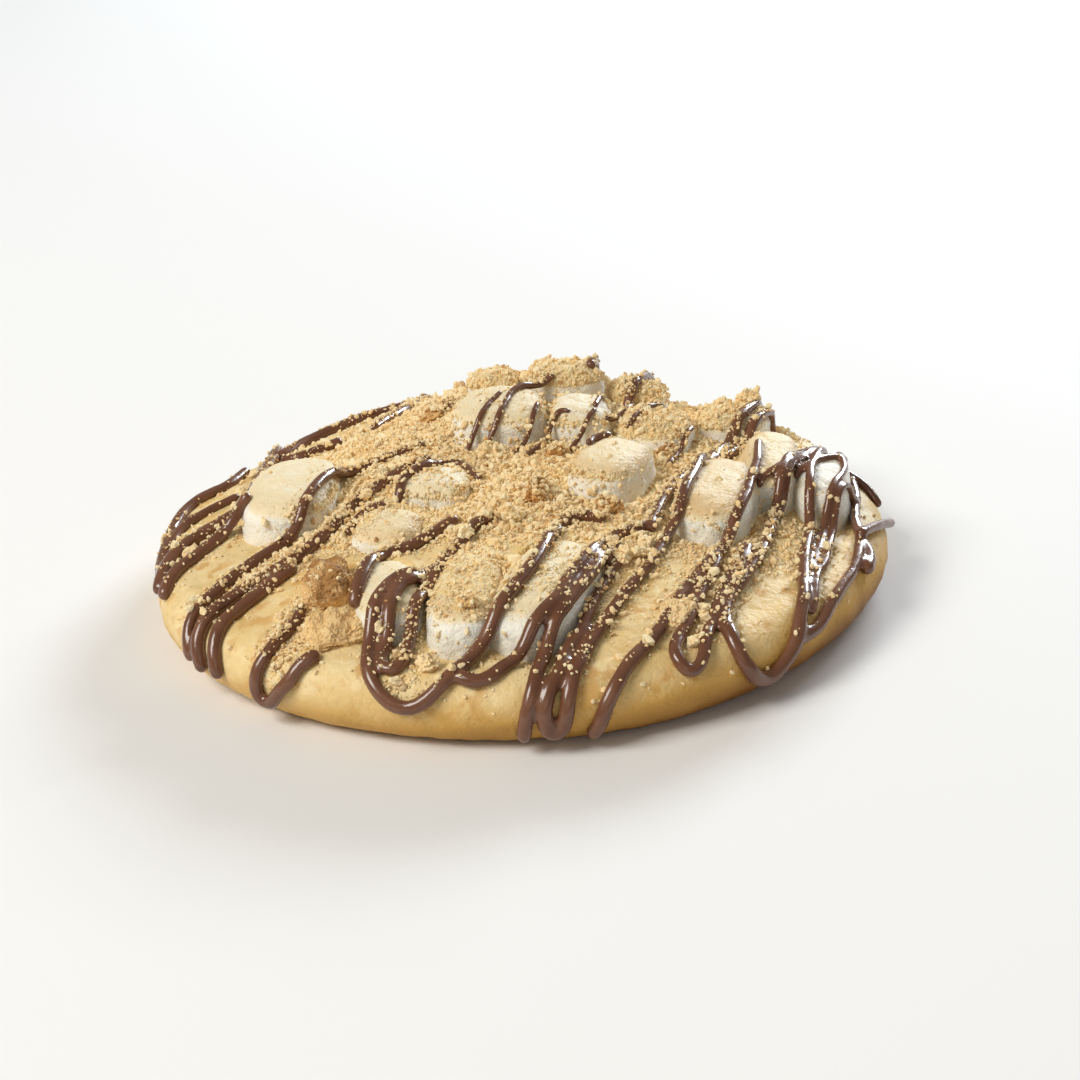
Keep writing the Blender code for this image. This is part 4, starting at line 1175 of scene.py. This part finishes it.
def make_marshmallow(number, puff):
    angles = [math.tau * k / OUTLINE_CHECKS for k in range(OUTLINE_CHECKS)]
    bottom = min(dough_height(*puff_outline(puff, a)) for a in angles) - PUFF_SINK

    def place(ring, angle):
        return marshmallow_point(puff, bottom, ring, angle)

    smooth, faces = sphere_grid(PUFF_SEGMENTS, CROWN_RINGS + SIDE_RINGS + PUFF_BOTTOM_RINGS, place)
    toast, dust = [], []
    for point in smooth:
        up = step(point.z, puff.top - TOAST_START, puff.top - TOAST_FULL)
        ring = RING_BASE + RING_GAIN * step(puff_share(puff, point.x, point.y), *TOAST_RING)
        toast.append(puff.toast * up * ring)
        dust.append(crumb_density(point.x, point.y, True) * (SIDE_DUST + (1 - SIDE_DUST) * up))
    points = [wrinkled(point, number, puff) for point in smooth]
    name, nodes = f"toasted_marshmallow_{number}", [f"marshmallow_{number}"]
    masks = {"toast": toast, "dust": dust}
    return piece_from(name, points, faces, marshmallow_material, "marshmallow", nodes, masks=masks)


marshmallows = [make_marshmallow(number, puff) for number, puff in enumerate(PUFFS, 1)]
print("marshmallows:", len(marshmallows), "with", sum(map(triangles, marshmallows)), "triangles")

# %% [markdown]
# ## The drizzle
# Melted chocolate is round on top, a little flattened, and runs together where strands cross. Tubes that
# follow the routes give the shape. Metaballs would melt together too, but they swell where they meet, so
# a voxel remesh makes the tubes one body instead. A light smoothing then rounds the seams, and a
# decimation brings the count back down.

# %% Strand rings
STRAND_CAP_RINGS = 4
RADIUS_WOBBLE = 0.10
WOBBLE_SIZE = 3.0
WOBBLE_SHIFT = 5.0


def strand_rings(line, seed):
    """Each ring's centre, three directions and radius, and how far it is tilted to close an end."""
    centres = [centre for centre, _, _ in line]
    rings = []
    for k, (centre, outward, radius) in enumerate(line):
        ahead = (centres[min(k + 1, len(line) - 1)] - centres[max(k - 1, 0)]).normalized()
        side = ahead.cross(outward).normalized()
        wobble = noise.noise(centre / WOBBLE_SIZE + Vector((seed * WOBBLE_SHIFT, 0, 0)))
        rings.append((centre, ahead, side, side.cross(ahead), radius * (1 + RADIUS_WOBBLE * wobble)))
    tilts = [math.pi / 2 * k / STRAND_CAP_RINGS for k in range(1, STRAND_CAP_RINGS + 1)]
    start = [(rings[0], -tilt) for tilt in reversed(tilts)]
    finish = [(rings[-1], tilt) for tilt in tilts]
    return start + [(ring, 0.0) for ring in rings] + finish


print("rings along the first strand:", len(strand_rings(strands[0], 0)))

# %% Strand tubes
STRAND_SIDES = 14
STRAND_WIDTH = 0.97
STRAND_HEIGHT = 0.88
CAP_POINT = 0.02
DRIZZLE_FLOOR = 0.2


def strand_shape(line, seed):
    """Points and faces of a round strand with rounded ends."""
    rings = strand_rings(line, seed)
    points = []
    for (centre, ahead, side, up, radius), tilt in rings:
        reach = max(math.cos(tilt), CAP_POINT) * radius
        for n in range(STRAND_SIDES):
            angle = math.tau * n / STRAND_SIDES
            spot = side * (math.cos(angle) * STRAND_WIDTH) + up * (math.sin(angle) * STRAND_HEIGHT)
            point = centre + spot * reach + ahead * (math.sin(tilt) * radius)
            point.z = max(point.z, DRIZZLE_FLOOR)
            points.append(point)
    faces = []
    for row in range(0, len(points) - STRAND_SIDES, STRAND_SIDES):
        for n in range(STRAND_SIDES):
            after = (n + 1) % STRAND_SIDES
            faces.append((row + n, row + after, row + STRAND_SIDES + after, row + STRAND_SIDES + n))
    faces.append(tuple(reversed(range(STRAND_SIDES))))
    faces.append(tuple(range(len(points) - STRAND_SIDES, len(points))))
    return points, faces


strand_shapes = [strand_shape(line, seed) for seed, line in enumerate(strands)]
print("tubes:", len(strand_shapes))

# %% Hanging tail
TIP_START = Vector((46.0, -13.0, 10.2))
TIP_MIDDLE = Vector((49.1, -8.1, 9.1))
TIP_END = Vector((51.6, -3.2, 7.0))
TIP_RADIUS = 0.8
TIP_STEPS = 24


def tip_line():
    """The tail of chocolate that hangs off the right side."""
    line = []
    for k in range(TIP_STEPS + 1):
        t = k / TIP_STEPS
        point = TIP_START * (1 - t) ** 2 + TIP_MIDDLE * (2 * t * (1 - t)) + TIP_END * t**2
        line.append((point, UPWARD, TIP_RADIUS))
    return line


strand_shapes.append(strand_shape(tip_line(), len(strands)))
print("tubes with the tail:", len(strand_shapes))

# %% Make the drizzle
VOXEL = 0.28
SMOOTHING = 0.5
SMOOTHING_PASSES = 3
DRIZZLE_TRIANGLES = 185000


def apply_modifiers(piece):
    graph = bpy.context.evaluated_depsgraph_get()
    mesh = bpy.data.meshes.new_from_object(piece.evaluated_get(graph))
    piece.modifiers.clear()
    piece.data = mesh


def make_drizzle():
    points, faces = joined(strand_shapes)
    piece = piece_from("chocolate_drizzle", points, faces, chocolate_material, "chocolate", ["cookie"])
    melt = piece.modifiers.new("melt together", "REMESH")
    melt.mode = "VOXEL"
    melt.voxel_size = VOXEL * MM
    melt.use_smooth_shade = True
    relax = piece.modifiers.new("round the seams", "SMOOTH")
    relax.factor = SMOOTHING
    relax.iterations = SMOOTHING_PASSES
    apply_modifiers(piece)
    fewer = piece.modifiers.new("fewer faces", "DECIMATE")
    fewer.ratio = min(1.0, DRIZZLE_TRIANGLES / triangles(piece))
    apply_modifiers(piece)
    piece.data.polygons.foreach_set("use_smooth", [True] * len(piece.data.polygons))
    return piece


drizzle = make_drizzle()
print("drizzle:", triangles(drizzle), "triangles")

# %% [markdown]
# ## Cracker chunks and bits
# Graham cracker breaks into lumps with soft corners and rough, pitted sides, and its outside stays
# browner. The three chunks are cubes with many cuts, half rounded, sloping down to the front, then pushed
# about by noise. The smaller bits are round blanks cut flat on random sides, as a hammer would leave
# them.

# %% Chunk form
Chunk = namedtuple("Chunk", "x y half_width half_length turn height slope browning tone material")
CHUNKS = (
    Chunk(-23.2, -28.2, 3.2, 3.4, 20, 3.5, 0.15, 0.90, 0.60, golden_cracker),
    Chunk(-22.2, -36.0, 3.9, 2.8, 25, 2.8, 0.45, 0.10, 0.95, golden_cracker),
    Chunk(19.4, -36.4, 2.0, 2.5, -30, 2.0, 0.25, 0.15, 0.30, pale_cracker),
)
CHUNK_SINK = 1.0
CHUNK_ROUNDING = 0.5
CHUNK_BALL = 1.3
CHUNK_TAPER = 0.18


def chunk_point(chunk, corner):
    """Where a point of a cube from -1 to 1 goes, and how far up it is: rounded, tapered and sloping."""
    form = corner.lerp(corner.normalized() * CHUNK_BALL, CHUNK_ROUNDING)
    upper = (form.z + 1) / 2
    draw_in = 1 - CHUNK_TAPER * upper
    level = Vector((form.x * chunk.half_width * draw_in, form.y * chunk.half_length * draw_in, 0))
    lift = (chunk.height + CHUNK_SINK) * upper * (1 - chunk.slope * (1 - form.y) / 2)
    floor = dough_height(chunk.x, chunk.y) - CHUNK_SINK
    turn = Matrix.Rotation(math.radians(chunk.turn), 3, "Z")
    return Vector((chunk.x, chunk.y, floor + lift)) + turn @ level, upper


print("chunks:", len(CHUNKS))

# %% Make the chunks
CHUNK_CUTS = 26
CHUNK_LUMP_SIZE = 1.8
CHUNK_LUMPS = 0.7
BREAK_SIZE = 0.9
SMALL_BREAK_SIZE = BREAK_SIZE / 2.5
SMALL_BREAK_SHARE = 0.8
BREAK_DEPTH = 0.45
PATCH_SIZE = 1.4
PATCHY_CRUST = 0.3
PATCHY_TONE = 0.4
CRUST_RANGE = (0.3, 0.75)


def make_chunk(number, chunk):
    bm = bmesh.new()
    bmesh.ops.create_cube(bm, size=2.0)
    bmesh.ops.subdivide_edges(bm, edges=bm.edges[:], cuts=CHUNK_CUTS, use_grid_fill=True)
    crust, tone = [], []
    for vert in bm.verts:
        vert.co, upper = chunk_point(chunk, vert.co)
        patchy = noise.noise(vert.co / PATCH_SIZE)
        crust.append(chunk.browning * step(upper + PATCHY_CRUST * patchy, *CRUST_RANGE))
        tone.append(min(1, max(0, chunk.tone + PATCHY_TONE * patchy)))
    bm.normal_update()
    points = []
    for vert in bm.verts:
        lumps = noise.noise(vert.co / CHUNK_LUMP_SIZE)
        pits = abs(noise.noise(vert.co / BREAK_SIZE))
        pits += SMALL_BREAK_SHARE * abs(noise.noise(vert.co / SMALL_BREAK_SIZE))
        points.append(vert.co + vert.normal * (CHUNK_LUMPS * lumps - BREAK_DEPTH * pits))
    bm.verts.index_update()
    faces = [[vert.index for vert in face.verts] for face in bm.faces]
    bm.free()
    name, nodes = f"broken_cracker_{number}", [f"cracker_chunk_{number}"]
    masks = {"crust": crust, "tone": tone}
    return piece_from(name, points, faces, chunk.material, "cracker", nodes, False, masks)


chunks = [make_chunk(number, chunk) for number, chunk in enumerate(CHUNKS, 1)]
print("chunks:", [triangles(piece) for piece in chunks], "triangles")

# %% [markdown]
# ## Heaps of crumbs
# Between the marshmallows at the back the crumbs have piled up and closed the gaps. Loose crumbs alone
# would need a huge number to fill them, so each heap is a low mound with a lumpy skin, and the loose
# crumbs that fall on it later give it its grain.

# %% Make the heaps
Heap = namedtuple("Heap", "x y reach top")
HEAPS = (
    Heap(2.6, 26.0, 3.2, 20.8),
    Heap(14.0, 25.6, 3.2, 19.4),
    Heap(-7.6, 25.6, 3.4, 18.6),
    Heap(-11.0, 25.2, 3.8, 17.2),
    Heap(25.0, 25.2, 3.2, 14.6),
)
HEAP_SEGMENTS = 60
HEAP_RINGS = 24
HEAP_SINK = 0.8
HEAP_LUMPS = 0.5
HEAP_LUMP_SIZE = 1.6
HEAP_GRAIN_SIZE = 0.7
HEAP_TONE = 0.6


def heap_shape(heap):
    """Points and faces of one low mound, with a pole below that closes it."""
    base = dough_height(heap.x, heap.y) - HEAP_SINK

    def place(ring, angle):
        if ring == HEAP_RINGS:
            return Vector((heap.x, heap.y, base))
        share = ring / (HEAP_RINGS - 1)
        point = Vector((heap.x, heap.y, 0)) + bearing(angle) * heap.reach * share
        point.z = base + (heap.top - base) * math.cos(math.pi / 2 * share)
        lump = noise.noise(point / HEAP_LUMP_SIZE) + 0.5 * noise.noise(point / HEAP_GRAIN_SIZE)
        return point + Vector((0, 0, HEAP_LUMPS * lump))

    return sphere_grid(HEAP_SEGMENTS, HEAP_RINGS, place)


def make_heaps():
    points, faces = joined(heap_shape(heap) for heap in HEAPS)
    masks = {"tone": [HEAP_TONE] * len(points), "crust": [0.0] * len(points)}
    return piece_from("crumb_heaps", points, faces, pale_cracker, "cracker", ["cookie"], masks=masks)


heaps = make_heaps()
print("heaps:", len(HEAPS), "with", triangles(heaps), "triangles")

# %% [markdown]
# ## What the crumbs land on
# A crumb has to lie on whatever is highest at its place. One search tree over the dough, the
# marshmallows, the drizzle, the chunks and the heaps answers that: a ray from above gives the point and
# the slope there.

# %% Landing surface
RAY_START = 60
DOWNWARD = Vector((0, 0, -1))


def drawn_shape(piece):
    """Points, back in drawing units, and faces of a piece."""
    points = [vert.co / MM - SHIFT for vert in piece.data.vertices]
    return points, [face.vertices for face in piece.data.polygons]


def landing_tree(pieces):
    return BVHTree.FromPolygons(*joined(drawn_shape(piece) for piece in pieces))


landing = landing_tree([dough, drizzle, heaps] + marshmallows + chunks)


def land(x, y):
    """Highest point at a place, and the direction that the surface faces there."""
    point, normal, _, _ = landing.ray_cast(Vector((x, y, RAY_START)), DOWNWARD)
    return point, normal


print("height over the middle:", round(land(0, 0)[0].z, 2), "mm")

# %% [markdown]
# ## The bits that catch the eye
# Nearly thirty bits of cracker are large enough to recognise, so they are listed one by one, each with its
# middle and its size. Most are pale, and a few are golden with a browned top.

# %% Choose the bits
PALE_BITS = (
    (8.9, 23.6, 0.7), (17.0, 24.0, 0.7), (13.2, -25.6, 1.7), (15.6, -24.6, 1.3), (14.0, -23.2, 1.2),
    (12.0, -24.0, 0.9), (14.5, 12.0, 1.5), (-3.0, 4.0, 1.6), (-18.5, 0.5, 1.4), (-21.0, 12.0, 1.3),
    (-43.0, -10.0, 1.2), (0.0, -16.0, 1.5), (14.5, 30.0, 1.6), (16.5, -22.5, 1.3), (-11.0, -44.0, 1.4),
    (34.5, 19.5, 1.6), (-6.5, -21.5, 1.1), (21.0, -41.0, 1.0), (22.5, -35.0, 1.2), (-14.0, 9.0, 1.3),
    (28.0, 27.0, 1.1),
)
GOLDEN_BITS = (
    (3.0, -10.0, 2.2), (22.0, 5.5, 1.9), (-11.5, 19.0, 1.7), (12.5, -13.5, 1.8), (6.0, 2.0, 1.3),
    (-6.0, -38.0, 1.2),
)
print("bits:", len(PALE_BITS), "pale and", len(GOLDEN_BITS), "golden")

# %% Cut a blank
BIT_BLANK = 1.15
BIT_CUTS = 7
BIT_CUT_DEPTHS = (0.55, 0.95)


def cut_blank(size, rng):
    """A round blank with random flat sides."""
    bm = bmesh.new()
    bmesh.ops.create_icosphere(bm, subdivisions=4, radius=size * BIT_BLANK)
    for _ in range(BIT_CUTS):
        away = Vector((rng.gauss(0, 1), rng.gauss(0, 1), rng.gauss(0, 1))).normalized()
        depth = size * rng.uniform(*BIT_CUT_DEPTHS)
        for vert in bm.verts:
            beyond = vert.co.dot(away) - depth
            if beyond > 0:
                vert.co -= away * beyond
    bm.verts.index_update()
    corners = [vert.co.copy() for vert in bm.verts]
    faces = [[vert.index for vert in face.verts] for face in bm.faces]
    bm.free()
    return corners, faces


print("triangles in a blank:", len(cut_blank(1.0, random.Random(0))[1]))

# %% Make the bits
BIT_LIFT = 0.3
BIT_LENGTH = 1.1
BIT_THICKNESS = 0.85
BIT_PIT_SIZE = 0.9
BIT_SMALL_PIT_SIZE = 0.4
BIT_SMALL_PITS = 0.6
BIT_FULLNESS = 1.05
BIT_PIT_DEPTH = 0.55
BIT_TOP = 0.55
BIT_CRUST = 0.8
PALE_SEED, GOLDEN_SEED = 31, 32


def make_bits(name, bits, top_crust, material, seed):
    rng = random.Random(seed)
    shapes, tone, crust = [], [], []
    for x, y, size in bits:
        corners, faces = cut_blank(size, rng)
        point, normal = land(x, y)
        points = []
        for corner in corners:
            pits = abs(noise.noise(corner / BIT_PIT_SIZE + Vector((x, y, 0))))
            pits += BIT_SMALL_PITS * abs(noise.noise(corner / BIT_SMALL_PIT_SIZE))
            flat = Vector((corner.x * BIT_LENGTH, corner.y, corner.z * BIT_THICKNESS))
            points.append(point + normal * (BIT_LIFT * size) + flat * (BIT_FULLNESS - BIT_PIT_DEPTH * pits))
            crust.append(top_crust if corner.z > BIT_TOP * size else 0.0)
        tone += [rng.random()] * len(points)
        shapes.append((points, faces))
    masks = {"tone": tone, "crust": crust}
    return piece_from(name, *joined(shapes), material, "cracker", ["cookie"], False, masks)


pale_bits = make_bits("cracker_bits_pale", PALE_BITS, 0.0, pale_cracker, PALE_SEED)
golden_bits = make_bits("cracker_bits_golden", GOLDEN_BITS, BIT_CRUST, golden_cracker, GOLDEN_SEED)
landing = landing_tree([dough, drizzle, heaps, pale_bits, golden_bits] + marshmallows + chunks)
print("bits:", triangles(pale_bits) + triangles(golden_bits), "triangles")

# %% [markdown]
# ## Loose crumbs
# Crumbs come in many sizes, most of them tiny. A scatter of linked copies would be lighter, but they
# would all have one shape. Here each kind is one mesh: a blank is copied hundreds or thousands of times,
# and every copy is turned, stretched and roughened on its own. The draw is seeded, so that each run gives
# the same cookie, and where crumbs are thick they are lifted a little, as if some lay on others.

# %% Crumb kinds
CrumbKind = namedtuple("CrumbKind", "name blank count smallest largest pile spread material seed")
CRUMB_KINDS = (
    CrumbKind("crumb_dust_pale", "diamond", 16000, 0.10, 0.24, 0.30, 1.0, pale_cracker, 101),
    CrumbKind("crumb_dust_golden", "diamond", 2200, 0.10, 0.24, 0.25, 1.2, golden_cracker, 102),
    CrumbKind("crumbs_small_pale", "ball", 9500, 0.17, 0.44, 0.45, 1.0, pale_cracker, 103),
    CrumbKind("crumbs_small_golden", "ball", 700, 0.20, 0.42, 0.40, 1.4, golden_cracker, 104),
    CrumbKind("crumbs_large", "fine ball", 680, 0.38, 0.72, 0.30, 1.3, pale_cracker, 105),
)
DIAMOND_POINTS = np.array([(1, 0, 0), (-1, 0, 0), (0, 1, 0), (0, -1, 0), (0, 0, 1), (0, 0, -1)], float)
DIAMOND_WAIST = ((0, 2), (2, 1), (1, 3), (3, 0))
DIAMOND_FACES = np.array([(a, b, 4) for a, b in DIAMOND_WAIST] + [(b, a, 5) for a, b in DIAMOND_WAIST])


def blank_shape(kind):
    """Points and triangles of a unit diamond or ball."""
    if kind == "diamond":
        return DIAMOND_POINTS, DIAMOND_FACES
    bm = bmesh.new()
    bmesh.ops.create_icosphere(bm, subdivisions=1 if kind == "ball" else 2, radius=1.0)
    bm.verts.index_update()
    points = np.array([vert.co[:] for vert in bm.verts])
    faces = np.array([[vert.index for vert in face.verts] for face in bm.faces])
    bm.free()
    return points, faces


print("triangles in each blank:", {kind.blank: len(blank_shape(kind.blank)[1]) for kind in CRUMB_KINDS})

# %% Scatter the crumbs
CRUMB_REACH = 49.8
CLUMP_SIZE = 2.4
CLUMP_RANGE = (-0.3, 0.35)
CLUMP_LEAST = 0.25
# A crumb stays only where the surface's upward share is at least this.
STEEPEST = 0.15
CRUMB_LIFT = 0.25


def scatter(kind):
    """Places and sizes of one kind of crumb. A higher spread keeps a kind to thicker patches."""
    rng = random.Random(kind.seed)
    places, sizes = [], []
    while len(sizes) < kind.count:
        x, y = rng.uniform(-CRUMB_REACH, CRUMB_REACH), rng.uniform(-CRUMB_REACH, CRUMB_REACH)
        if math.hypot(x, y) > CRUMB_REACH:
            continue
        density = crumb_density(x, y)
        clump = step(noise.noise(Vector((x, y, 0)) / CLUMP_SIZE), *CLUMP_RANGE)
        if rng.random() > density**kind.spread * (CLUMP_LEAST + (1 - CLUMP_LEAST) * clump):
            continue
        size = kind.smallest + (kind.largest - kind.smallest) * rng.random() ** 2
        point, normal = land(x, y)
        if point is None or normal.z < STEEPEST:
            continue
        lift = CRUMB_LIFT * size + kind.pile * density * rng.random() ** 2
        places.append((point + normal * lift)[:])
        sizes.append(size)
    return places, sizes


found = {kind.name: scatter(kind) for kind in CRUMB_KINDS}
print("crumbs:", sum(len(sizes) for _, sizes in found.values()))

# %% Make the crumbs
CRUST_SHARE = 0.04
CRUMB_CRUST = 0.6
CRUMB_STRETCH = (1.25, 0.9, 0.75)
STRETCH_SPREAD = (0.8, 1.2)
CRUMB_ROUGHNESS = (0.72, 1.22)


def random_turns(rng, count):
    """Evenly spread random rotation matrices, from random unit quaternions."""
    q = rng.normal(size=(count, 4))
    w, x, y, z = (q / np.linalg.norm(q, axis=1, keepdims=True)).T
    rows = [
        [1 - 2 * (y * y + z * z), 2 * (x * y - w * z), 2 * (x * z + w * y)],
        [2 * (x * y + w * z), 1 - 2 * (x * x + z * z), 2 * (y * z - w * x)],
        [2 * (x * z - w * y), 2 * (y * z + w * x), 1 - 2 * (x * x + y * y)],
    ]
    return np.moveaxis(np.array(rows), 2, 0)


def make_crumbs(kind):
    """One mesh of many crumbs, each a turned, stretched and roughened copy of the kind's blank."""
    places, sizes = found[kind.name]
    rng = np.random.default_rng(kind.seed)
    shape, faces = blank_shape(kind.blank)
    rough = rng.uniform(*CRUMB_ROUGHNESS, size=(kind.count, len(shape), 1))
    stretch = np.array(CRUMB_STRETCH) * rng.uniform(*STRETCH_SPREAD, size=(kind.count, 1, 3))
    body = shape[None] * rough * stretch * np.asarray(sizes)[:, None, None]
    turned = np.einsum("nij,nvj->nvi", random_turns(rng, kind.count), body)
    points = (turned + np.asarray(places)[:, None]).reshape(-1, 3)
    every = (faces[None] + (np.arange(kind.count) * len(shape))[:, None, None]).reshape(-1, 3).tolist()
    tone = np.repeat(rng.uniform(0, 1, kind.count), len(shape))
    crust = np.repeat((rng.random(kind.count) < CRUST_SHARE).astype(float), len(shape))
    masks = {"tone": tone, "crust": crust * CRUMB_CRUST}
    return piece_from(kind.name, points, every, kind.material, "cracker", ["cookie"], False, masks)


crumbs = []
for kind in CRUMB_KINDS:
    crumbs.append(make_crumbs(kind))
    print(kind.name, kind.count, "crumbs,", triangles(crumbs[-1]), "triangles")

# %% [markdown]
# ## Floor and light
# The cookie stands on a plain pale floor. A large soft light from the upper left and front does most of
# the work, a cool window far behind on the right gives the chocolate its bright edges, and a weak fill
# and a warm room keep the shadows open.

# %% Floor
FLOOR_SIZE = 6.0
FLOOR_COLOUR = (0.86, 0.86, 0.86, 1)
FLOOR_ROUGHNESS = 0.8


def make_floor():
    bpy.ops.mesh.primitive_plane_add(size=FLOOR_SIZE, location=(0, 0, 0))
    floor = bpy.context.object
    floor.name = "floor"
    made = bpy.data.materials.new("pale floor")
    made.use_nodes = True
    shader = made.node_tree.nodes["Principled BSDF"]
    shader.inputs["Base Color"].default_value = FLOOR_COLOUR
    shader.inputs["Roughness"].default_value = FLOOR_ROUGHNESS
    floor.data.materials.append(made)
    return floor


floor = make_floor()
print("floor at z =", floor.location.z)

# %% Lights
Light = namedtuple("Light", "name place width height watts colour")
LIGHTS = (
    Light("key", (-0.58, -0.30, 0.66), 0.42, 0.42, 6.5, (1.0, 0.97, 0.91)),
    Light("window", (0.45, 0.80, 0.36), 0.50, 0.20, 9.3, (0.86, 0.93, 1.0)),
    Light("fill", (0.10, -0.90, 0.45), 0.60, 0.40, 0.5, (1.0, 0.97, 0.93)),
)
ROOM_LIGHT = (1.0, 0.94, 0.84, 1)
ROOM_STRENGTH = 0.25


def make_light(light):
    data = bpy.data.lights.new(light.name, "AREA")
    data.shape = "RECTANGLE"
    data.size, data.size_y = light.width, light.height
    data.energy = light.watts
    data.color = light.colour
    lamp = bpy.data.objects.new(light.name, data)
    lamp.location = light.place
    lamp.rotation_euler = Vector(light.place).to_track_quat("Z", "Y").to_euler()
    bpy.context.scene.collection.objects.link(lamp)
    return lamp


def light_room():
    world = bpy.data.worlds.new("room")
    world.use_nodes = True
    background = world.node_tree.nodes["Background"]
    give(world.node_tree, background.inputs["Color"], ROOM_LIGHT)
    give(world.node_tree, background.inputs["Strength"], ROOM_STRENGTH)
    bpy.context.scene.world = world


lamps = [make_light(light) for light in LIGHTS]
light_room()
print("lights:", [lamp.name for lamp in lamps])
